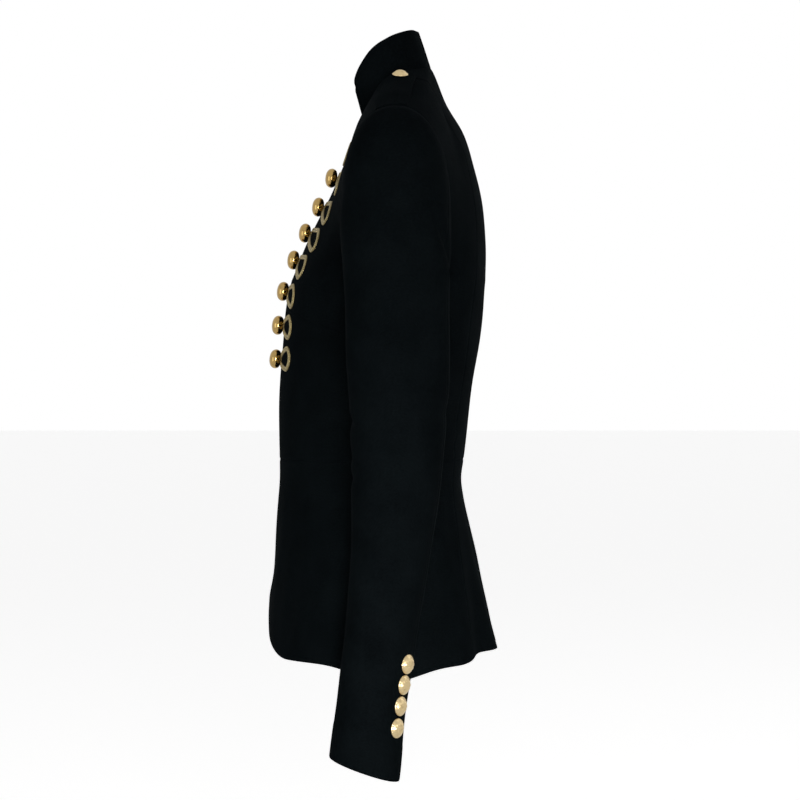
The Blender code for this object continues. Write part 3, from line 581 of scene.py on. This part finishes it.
def clothShell(node, grid, normals, turn, wall):
    rows, columns = grid.shape[:2]
    count = rows * columns
    across, _, up, _ = borderDistances(grid)
    outer = grid.reshape(-1, 3)
    inner = (grid - wall * normals).reshape(-1, 3)
    ring = borderRing(rows, columns)
    inside = np.clip(ring // columns, 1, rows - 2) * columns + np.clip(ring % columns, 1, columns - 2)
    away = unit(outer[ring] - outer[inside])
    middle = (outer[ring] + inner[ring]) / 2 + edges["bulge"] * away
    points = np.concatenate([outer, inner, middle])
    faces = [sheetQuads(rows, columns, turn), sheetQuads(rows, columns, -turn, count)]
    after = np.roll(ring, -1)
    here = 2 * count + np.arange(len(ring))
    there = np.roll(here, -1)
    faces += [quads(ring, here, there, after, turn), quads(here, ring + count, after + count, there, turn)]
    flat = np.stack([across, up], axis=2).reshape(-1, 2)
    uv = np.concatenate([flat, flat, flat[ring]])
    faces = np.concatenate(faces).tolist()
    piece = addMesh("cloth_" + node, node, points, faces, uv, woolMaterial)
    cells = cellArea(grid)


# finishes: shader maths as plain expressions on sockets

class Sock:
    def __init__(self, maker, socket):
        self.maker, self.socket = maker, socket

    def math(self, kind, other=None, swap=False):
        pair = [self] if other is None else [other, self] if swap else [self, other]
        return self.maker.node("ShaderNodeMath", {"operation": kind}, dict(enumerate(pair)))

    def __abs__(self):
        return self.math("ABSOLUTE")

    def sine(self):
        return self.math("SINE")

    def clamped(self):
        return self.maker.node("ShaderNodeClamp", {}, {"Value": self})


def overload(name, kind):
    setattr(Sock, f"__{name}__", lambda self, other: self.math(kind, other))
    setattr(Sock, f"__r{name}__", lambda self, other: self.math(kind, other, True))


for name, kind in {"add": "ADD", "sub": "SUBTRACT", "mul": "MULTIPLY", "pow": "POWER"}.items():
    overload(name, kind)


class Finish:
    def __init__(self, name):
        self.material = bpy.data.materials.new(name)
        self.material.use_nodes = True
        self.tree = self.material.node_tree
        self.tree.nodes.clear()
        self.out = self.tree.nodes.new("ShaderNodeOutputMaterial")

    def node(self, kind, settings=None, inputs=None, output=0):
        made = self.tree.nodes.new(kind)
        for name, value in (settings or {}).items():
            setattr(made, name, value)
        for name, value in (inputs or {}).items():
            if isinstance(value, Sock):
                self.tree.links.new(value.socket, made.inputs[name])
            else:
                made.inputs[name].default_value = value
        return Sock(self, made.outputs[output])

    def mix(self, factor, first, second):
        sockets = {"Factor": factor, 6: first, 7: second}
        return self.node("ShaderNodeMix", {"data_type": "RGBA", "clamp_factor": True}, sockets, 2)

    def cloth(self):
        uv = self.node("ShaderNodeUVMap", {"uv_map": "cloth"})
        split = self.node("ShaderNodeSeparateXYZ", {}, {"Vector": uv})
        return uv, split, Sock(self, split.socket.node.outputs[1])

    def place(self):
        return self.node("ShaderNodeTexCoord", {}, {}, 3)

    def noise(self, vector, scale, detail=2.0, rough=0.5):
        sockets = {"Vector": vector, "Scale": scale, "Detail": detail, "Roughness": rough}
        return self.node("ShaderNodeTexNoise", {}, sockets)

    def streaks(self, vector, by, detail=2.0):
        stretched = self.node("ShaderNodeVectorMath", {"operation": "MULTIPLY"}, {0: vector, 1: by})
        return self.noise(stretched, 1.0, detail)

    def bump(self, height, strength, distance):
        sockets = {"Height": height, "Strength": strength, "Distance": distance}
        return self.node("ShaderNodeBump", {}, sockets)

    def surface(self, base, rough, normal, **fixed):
        sockets = {"Base Color": base, "Roughness": rough, "Normal": normal}
        sockets.update({name.replace("_", " "): value for name, value in fixed.items()})
        shader = self.node("ShaderNodeBsdfPrincipled", {}, sockets)
        self.tree.links.new(shader.socket, self.out.inputs["Surface"])
        return self.material


def colour(red, green, blue):
    return (red, green, blue, 1.0)


wool = {
    "dark": colour(0.0013, 0.0021, 0.0026), "light": colour(0.0058, 0.0086, 0.0101),
    "brown": colour(0.0060, 0.0052, 0.0052), "nap": colour(0.45, 0.62, 0.72),
    "pitch": 0.0007, "slub": (380.0, 620.0, 1.0), "fibre": (1500.0, 900.0, 1.0), "patch": 26.0,
    "fleck": 900.0, "fleckFrom": 0.62, "weaveHeight": 0.00008,
}


def woolFinish():
    made = Finish("black wool")
    uv, across, up = made.cloth()
    turn = 2 * math.pi / wool["pitch"]
    twill = ((across + up) * turn).sine()
    warp = (across * (2.0 * turn)).sine()
    weft = (up * (2.0 * turn)).sine()
    weave = twill * 0.6 + (warp * weft) * 0.4
    slub = made.streaks(uv, wool["slub"], 3.0)
    patch = made.noise(made.place(), wool["patch"], 4.0, 0.6)
    tone = ((slub - 0.5) * 1.1 + (patch - 0.5) * 0.9 + 0.5).clamped()
    base = made.mix(tone, wool["dark"], wool["light"])
    fleck = ((made.noise(uv, wool["fleck"], 1.0) - wool["fleckFrom"]) * 6.0).clamped() * 0.5
    base = made.mix(fleck, base, wool["brown"])
    fibre = made.streaks(uv, wool["fibre"])
    height = weave * 0.5 + fibre * 0.9 + slub * 0.6
    normal = made.bump(height, 0.5, wool["weaveHeight"])
    rough = 0.86 + slub * 0.1
    return made.surface(base, rough, normal, Sheen_Weight=0.002, Sheen_Roughness=0.5,
                        Sheen_Tint=wool["nap"], Specular_IOR_Level=0.006)


braidLook = {
    # the shade colour is painted shade, for the braid's middle groove and its edges
    "thread": colour(0.54, 0.44, 0.20), "shade": colour(0.10, 0.070, 0.025),
    # the glint colour is a painted glint, laid along streaks of the braid
    "glint": colour(0.80, 0.70, 0.42),
    "pitch": 0.0016, "slope": 0.9, "worn": (260.0, 1.2, 1.0), "rimFrom": 0.72, "threadHeight": 0.00025,
}


def braidFinish():
    made = Finish("gold braid")
    uv, length, across = made.cloth()  # across runs from -1 at one edge to 1 at the other
    turn = 2 * math.pi / braidLook["pitch"]
    threads = (length * turn + abs(across) * (2 * math.pi * braidLook["slope"])).sine()
    threads = (threads * 0.5 + 0.5) ** 0.7
    # painted shade: the thread colour goes towards the shade colour in the middle groove between the two
    # cords and at both edges, and it also dips between the threads
    grooveShade = (1.0 - abs(across) * 5.0).clamped()
    rim = ((abs(across) - braidLook["rimFrom"]) * 3.2).clamped()
    worn = made.streaks(uv, braidLook["worn"])
    lit = (threads * (1.0 - grooveShade * 0.8) * (1.0 - rim * 0.75)).clamped()
    base = made.mix(lit, braidLook["shade"], braidLook["thread"])
    # painted glint: along the streaks the colour goes towards the paler glint colour; the same streaks also
    # make the thread rougher
    base = made.mix((worn - 0.5).clamped() * 1.3, base, braidLook["glint"])
    normal = made.bump(threads, 0.6, braidLook["threadHeight"])
    return made.surface(base, 0.42 + worn * 0.18, normal, Metallic=0.75)


goldLook = {
    "cloud": 260.0, "cloudFrom": 0.52, "grain": 1800.0,
    "polished": {
        "base": colour(0.50, 0.335, 0.12), "deep": colour(0.13, 0.075, 0.02),
        "rough": 0.14, "bump": 0.000002},
    "satin": {
        "base": colour(0.74, 0.58, 0.32), "deep": colour(0.34, 0.23, 0.10),
        "rough": 0.30, "bump": 0.00003},
}


def goldFinish(name, look):
    made = Finish(name)
    place = made.place()
    cloud = made.noise(place, goldLook["cloud"], 3.0, 0.6)
    grain = made.noise(place, goldLook["grain"], 2.0)
    tarnish = ((cloud - goldLook["cloudFrom"]) * 3.0).clamped()
    base = made.mix(tarnish * 0.75, look["base"], look["deep"])
    normal = made.bump(grain * 0.6 + cloud * 0.4, 0.35, look["bump"])
    return made.surface(base, look["rough"] + tarnish * 0.12 + grain * 0.05, normal, Metallic=1.0)


woolMaterial = woolFinish()
braidMaterial = braidFinish()
polishedMaterial = goldFinish("polished gold", goldLook["polished"])
satinMaterial = goldFinish("satin gold", goldLook["satin"])
print("finishes made")


# the body and the sleeves, each side on its own

def shaped(grid, turn, kind, side, kinds, cloth):
    normals = facing(grid, turn)
    heights = waveHeights(grid * mirror(side)) + creaseHeights(grid, kind, side, cloth)
    if kind == "body" and turn > 0:
        heights += dartHeights(grid, cloth)
    made = grid + normals * heights[..., None]
    normals = facing(made, turn)
    return made + normals * edgeHeights(made, kinds)[..., None], normals


def matchSeam(one, other):
    one[:] = unit(one + other)
    other[:] = one


def shoulderNormal():
    table = body["frontYoke"]
    seam = unit(ringPoints(0, 0.0)[0] - np.array([table.column(name)[-1] for name in "xyz"]))
    return unit(np.array((0.0, 0.0, 1.0)) - seam[2] * seam)


def addCloth(name, grid, normals, turn, sideName):
    side = sides[sideName]
    grid, normals = pulledIn(grid) * mirror(side), normals * mirror(side)
    clothShell(f"{name}_{sideName}", grid, normals, turn * side, mesh["wall"])


def turnOf(name):
    return 1.0 if name.endswith("front") else -1.0


panels = {
    # columns of points, then the kinds of the left, right, bottom and top edges
    "front": (58, ("fold", "seam", "seam", "seam")),
    "side": (30, ("seam", "seam", "seam", "seam")),
    "back": (30, ("seam", "seam", "seam", "seam")),
    "skirt_front": (58, ("fold", "seam", "hem", "seam")),
    "skirt_side": (30, ("seam", "seam", "hem", "seam")),
    "skirt_back": (30, ("seam", "seam", "hem", "seam")),
}


def bodyGrids():
    made = {}
    for panel in ("front", "side", "back"):
        count = panels[panel][0]
        made[panel] = panelGrid(panelRows(panel), panel, count)[0]
        made["skirt_" + panel] = flared(*panelGrid(skirtRows(panel), panel, count), panel)
    return made


def makeBody():
    plain = bodyGrids()
    cloth = surfaceOf(plain.values())
    level = len(bodiceLevels())
    chests = {}
    for sideName, side in sides.items():
        grids, normals = {}, {}
        for name, grid in plain.items():
            kinds = panels[name][1]
            grids[name], normals[name] = shaped(grid, turnOf(name), "body", side, kinds, cloth)
        matchSeam(normals["front"][:level, -1], normals["side"][:level, -1])
        matchSeam(normals["side"][:, 0], normals["back"][:, -1])
        matchSeam(normals["skirt_front"][:, -1], normals["skirt_side"][:, -1])
        matchSeam(normals["skirt_side"][:, 0], normals["skirt_back"][:, -1])
        for panel in ("front", "side", "back"):
            matchSeam(normals[panel][0], normals["skirt_" + panel][-1])
            normals[panel][-1] = shoulderNormal()
        for name, grid in grids.items():
            addCloth(name, grid, normals[name], turnOf(name), sideName)
        chests[sideName] = surfaceOf([grids[name] * mirror(side) for name in ("front", "side", "back")])
    return chests


chests = makeBody()
print("body made")


def makeSleeves():
    kinds = ("seam", "seam", "armhole", "hem")
    parts = {
        # degrees round the arm from seam to seam, and columns of points
        "sleeve_top": (sleeve["backSeam"], sleeve["frontSeam"], 52),
        "sleeve_under": (sleeve["frontSeam"] + 360, sleeve["backSeam"], 48),
    }
    plain = {name: sleeveGrid(*place) for name, place in parts.items()}
    cloth = surfaceOf(plain.values())
    arms = {}
    for sideName, side in sides.items():
        grids, normals = {}, {}
        for name, grid in plain.items():
            grids[name], normals[name] = shaped(grid, 1.0, "sleeve", side, kinds, cloth)
        matchSeam(normals["sleeve_top"][:, 0], normals["sleeve_under"][:, -1])
        matchSeam(normals["sleeve_top"][:, -1], normals["sleeve_under"][:, 0])
        for name, grid in grids.items():
            addCloth(name, grid, normals[name], 1.0, sideName)
        arms[sideName] = surfaceOf([grid * mirror(side) for grid in grids.values()])
    return arms


arms = makeSleeves()
print("sleeves made")


def makeCollar():
    grid = collarGrid()
    normals = facing(grid, 1.0)
    grid = grid + normals * (waveHeights(grid) * 0.5)[..., None]
    grid = grid + normals * edgeHeights(grid, ("fold", "fold", "seam", "fold"))[..., None]
    clothShell("collar", grid, normals, 1.0, collar["wall"])


makeCollar()
print("collar made")


# what is sewn on: places on the cloth, seen from the front, from above or from the sleeve

def seatOn(cloth, origin, direction):
    place, normal, _, _ = cloth.ray_cast(Vector(origin), Vector(direction))
    if normal.dot(Vector(direction)) > 0:
        normal = -normal
    return np.array(place), np.array(normal)


frogs = {
    "width": 0.0049, "edgeGap": 0.0030, "innerRadius": 0.0034, "outerRadius": 0.0104, "sink": 0.0002,
    "outerPoints": 60, "innerPoints": 30, "stations": 190, "placesEased": 2, "normalsEased": 6,
    "rows": Rows(
        "height droop reach slant",
        (-0.0525, 0.0095, 0.0620, 0.5),
        (-0.0805, 0.0100, 0.0630, 0.6),
        (-0.1100, 0.0100, 0.0635, 0.7),
        (-0.1365, 0.0105, 0.0635, 0.7),
        (-0.1640, 0.0098, 0.0620, 0.6),
        (-0.1960, 0.0062, 0.0505, 0.2),
        (-0.2305, 0.0026, 0.0465, 0.0),
        (-0.2648, 0.0000, 0.0450, 0.0)),
    "cord": Rows(  # from the braid's edge to its middle, as shares of the half width and metres of height
        "across height",
        (1.00, 0.0000), (0.99, 0.0005), (0.86, 0.0011), (0.66, 0.0015),
        (0.46, 0.0015), (0.24, 0.0011), (0.08, 0.0006)),
}


def frontEdge(height):
    table = body["frontYoke"]
    return float(np.interp(height, table.column("z"), table.column("x")))


def arc(centre, radius, start, end, count):
    turn = np.radians(np.linspace(start, end, count))
    return centre + radius * np.stack([np.cos(turn), np.sin(turn)], axis=1)


def loopPath(height, droop, reach, slant):
    # a belt round a small arc beside the button and a wide arc at the outer end, in the front view
    edge = frontEdge(height)
    tip = np.array((edge + frogs["edgeGap"] + frogs["width"] / 2 + frogs["innerRadius"], height))
    end = np.array((reach + edge, height - droop))
    axis = end - tip
    lean = math.degrees(math.atan2(axis[1], axis[0]))
    spread = math.degrees(math.acos(-(frogs["outerRadius"] - frogs["innerRadius"]) / np.linalg.norm(axis)))
    outer = arc(end, frogs["outerRadius"], lean - spread, lean + spread, frogs["outerPoints"])
    outer[:, 0] += slant * (end[1] - outer[:, 1])
    inner = arc(tip, frogs["innerRadius"], lean + spread, lean + 360 - spread, frogs["innerPoints"])
    path = np.concatenate([outer, inner, outer[:1]])
    way = wayAlong(path)
    return pointsAt(path, way, np.linspace(0, way[-1], frogs["stations"], endpoint=False)), way[-1]


def smoothRound(values, times):
    for _ in range(times):
        values = (values + np.roll(values, 1, axis=0) + np.roll(values, -1, axis=0)) / 3
    return values


def makeLoop(number, row, sideName, cloth):
    path, length = loopPath(*row)
    seats = [seatOn(cloth, (x, -1.0, z), (0.0, 1.0, 0.0)) for x, z in path * (sides[sideName], 1.0)]
    places = smoothRound(np.array([place for place, _ in seats]), frogs["placesEased"])
    normals = unit(smoothRound(np.array([normal for _, normal in seats]), frogs["normalsEased"]))
    out = unit(np.cross(np.roll(places, -1, axis=0) - np.roll(places, 1, axis=0), normals))
    # two cords side by side: the second is the first one mirrored
    across, heights = frogs["cord"].column("across"), frogs["cord"].column("height") - frogs["sink"]
    across, heights = np.concatenate([across, -across[::-1]]), np.concatenate([heights, heights[::-1]])
    aside = (across * frogs["width"] / 2)[:, None] * out[:, None]
    points = places[:, None] + aside + heights[:, None] * normals[:, None]
    stations, count = points.shape[:2]
    here = np.arange(stations * count).reshape(stations, count)
    step = np.roll(here, -1, axis=0)
    faces = quads(here, np.roll(here, -1, axis=1), np.roll(step, -1, axis=1), step, 1).tolist()
    lengths = np.linspace(0, length, stations, endpoint=False)
    uv = np.stack(np.broadcast_arrays(lengths[:, None], across), axis=2).reshape(-1, 2)
    node = f"loop_{number}_{sideName}"
    addMesh("braid_" + node, node, points.reshape(-1, 3), faces, uv, braidMaterial)


def makeLoops():
    for number, row in enumerate(frogs["rows"].values):
        for sideName in sides:
            makeLoop(number, row, sideName, chests[sideName])


makeLoops()
print("braid loops made")

# buttons, spun from a radius and a height above the cloth
turned = {
    "sides": 72, "rope": 40, "petals": 8, "between": 5, "faceRow": 5,
    "ball": Rows(
        "radius height",
        (0.0000, 0.0000), (0.0024, 0.0002), (0.0024, 0.0010), (0.0050, 0.0014),
        (0.0078, 0.0026), (0.0092, 0.0043), (0.0098, 0.0064), (0.0094, 0.0086),
        (0.0082, 0.0105), (0.0062, 0.0119), (0.0034, 0.0128), (0.0000, 0.0131)),
    "dome": Rows(
        "radius height",
        (0.0000, 0.0000), (0.0026, 0.0002), (0.0026, 0.0010), (0.0070, 0.0012),
        (0.0088, 0.0015), (0.0091, 0.0021), (0.0086, 0.0028), (0.0079, 0.0031),
        (0.0066, 0.0044), (0.0048, 0.0056), (0.0026, 0.0064), (0.0000, 0.0067)),
    "rimFrom": 0.0078, "rimRelief": 0.00022, "petalRelief": 0.00035, "tabScale": 0.86,
    # the rosette, in shares of the face: the width and length of a petal, and the boss in the middle
    "petalPower": 0.6, "petalLength": 1.15, "petalWidth": 0.12, "boss": 0.20, "bossRise": 0.8,
}


buttonKinds = {
    # finish, slot, and whether the face has a rope and a rosette
    "ball": (polishedMaterial, "polished_gold", False),
    "dome": (satinMaterial, "satin_gold", True),
}


def turnedPoints(profile, figured):
    at = np.linspace(0, profile.last, turned["between"] * profile.last + 1)[1:-1]
    row = profile.read(at)
    radius, height = np.maximum(row["radius"], 0.0001), row["height"]
    turn = np.linspace(0, 2 * math.pi, turned["sides"], endpoint=False)
    top = height > profile.column("height")[turned["faceRow"]]
    relief = np.zeros((len(at), turned["sides"]))
    if figured:  # a roped rim and a plain rosette, raised on the face
        rim = top & (radius > turned["rimFrom"])
        relief[rim] = turned["rimRelief"] * np.sin(turned["rope"] / 2 * turn)
        inner = top & ~rim
        reach = radius[inner][:, None] / turned["rimFrom"]
        petal = np.abs(np.cos(turned["petals"] / 2 * turn)) ** turned["petalPower"]
        within = petal[None, :] - reach * turned["petalLength"] + turned["petalWidth"]
        rise = softStep(within * 4) * softStep(reach * 6)
        boss = turned["bossRise"] * softStep((turned["boss"] - reach) * 12)
        relief[inner] = turned["petalRelief"] * (rise + boss)
    x = radius[:, None] * np.cos(turn)
    y = radius[:, None] * np.sin(turn)
    points = np.stack([x, y, height[:, None] + relief], axis=2).reshape(-1, 3)
    top = profile.column("height")[-1] + relief[-1].mean()
    return np.concatenate([points, [(0, 0, 0)], [(0, 0, top)]]), len(at)


def makeButton(kind, name, node, seat, axis, scale=1.0):
    finish, slot, figured = buttonKinds[kind]
    points, rings = turnedPoints(turned[kind], figured)
    count = turned["sides"]
    here = np.arange(rings * count).reshape(rings, count)
    after = np.roll(here, -1, axis=1)
    faces = quads(here[:-1], after[:-1], after[1:], here[1:], 1).tolist()
    foot, top = here.size, here.size + 1
    faces += [(foot, second, first) for first, second in zip(here[0].tolist(), after[0].tolist())]
    faces += [(first, second, top) for first, second in zip(here[-1].tolist(), after[-1].tolist())]
    turn = np.array(Vector(axis).to_track_quat("Z", "Y").to_matrix())
    addMesh(f"{kind}_button_{name}", node, points * scale @ turn.T + seat, faces, None, finish)


frontButtons = {"lift": 7.0, "besideEdge": 0.0006}


def makeFrontButtons():
    lift = math.radians(frontButtons["lift"])
    axis = np.array((0.0, -math.cos(lift), math.sin(lift)))
    for number, height in enumerate(frogs["rows"].column("height")):
        if number:
            edge = frontEdge(height) + frontButtons["besideEdge"]
            place = seatOn(chests["left"], (edge, -1.0, height), (0.0, 1.0, 0.0))[0]
            seat = np.array((0.0, place[1], place[2]))
            makeButton("ball", number, f"front_button_{number}", seat, axis)


makeFrontButtons()

cuffButtons = {
    "step": 0.05, "outside": 0.02,
    "rows": Rows("height angle", (-0.5492, 51.5), (-0.5682, 51.5), (-0.5876, 50.5), (-0.6075, 47.5)),
}


def sleevePoint(height, degrees):
    places = np.linspace(sleeve["headEnd"], sleeve["rings"].last, sleeve["armRows"] + 1)
    heights = [ringPoints(place, degrees)[0, 2] for place in places]
    place = float(np.interp(-height, -np.array(heights), places))
    point, step = ringPoints(place, degrees)[0], cuffButtons["step"]
    down = ringPoints(place + step, degrees)[0] - ringPoints(place - step, degrees)[0]
    return point, unit(np.cross(down, ringPoints(place, degrees + 1)[0] - point))


def makeCuffButtons():
    for number, (height, degrees) in enumerate(cuffButtons["rows"].values, 1):
        point, normal = sleevePoint(height, degrees)
        outside = point + cuffButtons["outside"] * normal
        for sideName, side in sides.items():
            seat = seatOn(arms[sideName], outside * mirror(side), -normal * mirror(side))[0]
            name = f"{number}_{sideName}"
            makeButton("dome", name, "cuff_button_" + name, seat, normal * mirror(side))


makeCuffButtons()

tab = {
    "wall": 0.0022, "lift": 0.0014, "buttonX": 0.0980, "sewnFor": 0.045, "sewnDrop": 0.0026, "seam": -0.027,
    "rows": 44, "columns": 18, "endHalf": 0.006, "easing": 4,
    "outline": Rows(
        "x y half",
        (0.1890, -0.0080, 0.0160), (0.1600, -0.0066, 0.0158), (0.1300, -0.0040, 0.0153),
        (0.1020, -0.0004, 0.0148), (0.0900, 0.0012, 0.0144), (0.0815, 0.0020, 0.0122),
        (0.0770, 0.0024, 0.0085), (0.0747, 0.0025, 0.0030)),
}


def shoulderPoint(cloth, x, y):
    # where the tab reaches the sleeve seam it is taken to the nearest cloth
    hit = cloth.ray_cast(Vector((x, y, 1.0)), Vector((0.0, 0.0, -1.0)))[0]
    return np.array(hit or cloth.find_nearest((x, y, tab["seam"]))[0])


def tabGrid(cloth, side):
    outline = tab["outline"].values
    way = wayAlong(outline[:, (0, 2)])
    rows = []
    for x, y, half in pointsAt(outline, way, spaced(way[-1], tab["rows"])):
        across = spaced(2 * half, tab["columns"]) - half
        if half <= tab["endHalf"]:  # too narrow for points that are closer beside its edges
            across = np.linspace(-half, half, len(across))
        rows.append([shoulderPoint(cloth, x * side, y + step) for step in across])
    grid = np.array(rows)
    for _ in range(tab["easing"]):  # the tab is stiff, and bridges the small hollows of the shoulder
        grid[1:-1] = (grid[:-2] + 2 * grid[1:-1] + grid[2:]) / 4
    return grid


def makeEpaulettes():
    outline = tab["outline"]
    for sideName, side in sides.items():
        grid = tabGrid(chests[sideName], side)
        normals = facing(grid, side)
        # the end goes down into the sleeve seam
        sewn = 1 - softStep(borderDistances(grid)[2] / tab["sewnFor"])
        shape = grid + normals * (tab["lift"] + tab["wall"] - tab["sewnDrop"] * sewn)[..., None]
        shape = shape + normals * edgeHeights(shape, ("fold", "fold", "fold", "fold"))[..., None]
        clothShell(f"epaulette_{sideName}", shape, normals, side, tab["wall"])
        y = float(np.interp(-tab["buttonX"], -outline.column("x"), outline.column("y")))
        seat, normal = seatOn(surfaceOf([shape]), (tab["buttonX"] * side, y, 1.0), (0.0, 0.0, -1.0))
        name, scale = f"shoulder_{sideName}", turned["tabScale"]
        makeButton("dome", name, f"epaulette_button_{sideName}", seat, normal, scale)


makeEpaulettes()
print("buttons and shoulder tabs made")

# the stage: a plain pale floor, soft lamps, and a white surround that is dim as a light on the cloth,
# brighter in the mirror of the metal and white behind the jacket

stage = {
    "floor": -0.80, "size": 80.0, "seen": 1.0, "ambient": 0.08, "mirrored": 0.75, "floorGlow": 0.80,
    "white": colour(1.0, 1.0, 1.0), "pale": colour(0.96, 0.96, 0.96), "pearl": colour(0.92, 0.92, 0.92),
    "lights": {
        # place, what it points at, width and height, watts, colour, degrees of spread
        "key": ((2.9, 0.30, -0.45), (0.15, 0.0, -0.40), (0.9, 1.6), 42.0, (1.00, 0.98, 0.95), 180),
        "low": ((2.4, 0.15, -0.60), (0.17, -0.03, -0.62), (0.5, 0.35), 1.35, (1.00, 0.98, 0.96), 40),
        "fill": ((1.6, -2.5, -0.3), (0.0, -0.1, -0.40), (1.6, 2.2), 12.0, (0.94, 0.97, 1.00), 180),
        "rim": ((-0.9, 2.5, 1.3), (0.0, 0.05, -0.12), (0.5, 1.4), 7.0, (1.00, 1.00, 1.00), 180),
        "top": ((0.3, 0.3, 2.6), (0.0, 0.0, -0.1), (2.2, 2.2), 0.4, (1.00, 1.00, 1.00), 180),
    },
}


def areaLight(name, place, target, size, power, tint, spread):
    light = bpy.data.lights.new(name, "AREA")
    light.shape = "RECTANGLE"
    light.size, light.size_y = size
    light.energy, light.color, light.spread = power, tint, math.radians(spread)
    made = bpy.data.objects.new(name, light)
    made.location = place
    made.rotation_euler = (Vector(target) - Vector(place)).to_track_quat("-Z", "Y").to_euler()
    bpy.context.scene.collection.objects.link(made)


def makeFloor():
    floorMesh = bpy.data.meshes.new("floor")
    half = stage["size"] / 2
    corners = [(-half, -half, 0), (half, -half, 0), (half, half, 0), (-half, half, 0)]
    floorMesh.from_pydata(corners, [], [(0, 1, 2, 3)])
    floor = bpy.data.objects.new("floor", floorMesh)
    floor.location.z = stage["floor"]
    bpy.context.scene.collection.objects.link(floor)
    pale = Finish("pale floor")
    speckle = pale.noise(pale.place(), 3.0)
    base = pale.mix(speckle, stage["pearl"], stage["pale"])
    finish = pale.surface(base, speckle * 0.05 + 0.9, pale.bump(speckle, 0.1, 0.001),
                          Emission_Color=stage["white"], Emission_Strength=stage["floorGlow"])
    floorMesh.materials.append(finish)
    # it looks white and doesn't light the jacket from below
    floor.visible_diffuse = floor.visible_glossy = False


def makeSky():
    world = bpy.data.worlds.new("studio")
    bpy.context.scene.world = world
    world.use_nodes = True
    tree = world.node_tree
    rays, sky = tree.nodes.new("ShaderNodeLightPath"), tree.nodes["Background"]
    sky.inputs["Strength"].default_value = stage["ambient"]
    sky.inputs["Color"].default_value = stage["white"]
    for ray, strength in (("Is Glossy Ray", stage["mirrored"]), ("Is Camera Ray", stage["seen"])):
        shade, mix = tree.nodes.new("ShaderNodeBackground"), tree.nodes.new("ShaderNodeMixShader")
        shade.inputs["Strength"].default_value = strength
        shade.inputs["Color"].default_value = stage["white"]
        tree.links.new(rays.outputs[ray], mix.inputs[0])
        tree.links.new(sky.outputs[0], mix.inputs[1])
        tree.links.new(shade.outputs[0], mix.inputs[2])
        sky = mix
    tree.links.new(sky.outputs[0], tree.nodes["World Output"].inputs["Surface"])


makeFloor()
makeSky()
for name, light in stage["lights"].items():
    areaLight(name, *light)
bpy.context.scene.view_settings.view_transform = "Standard"
print("stage made")
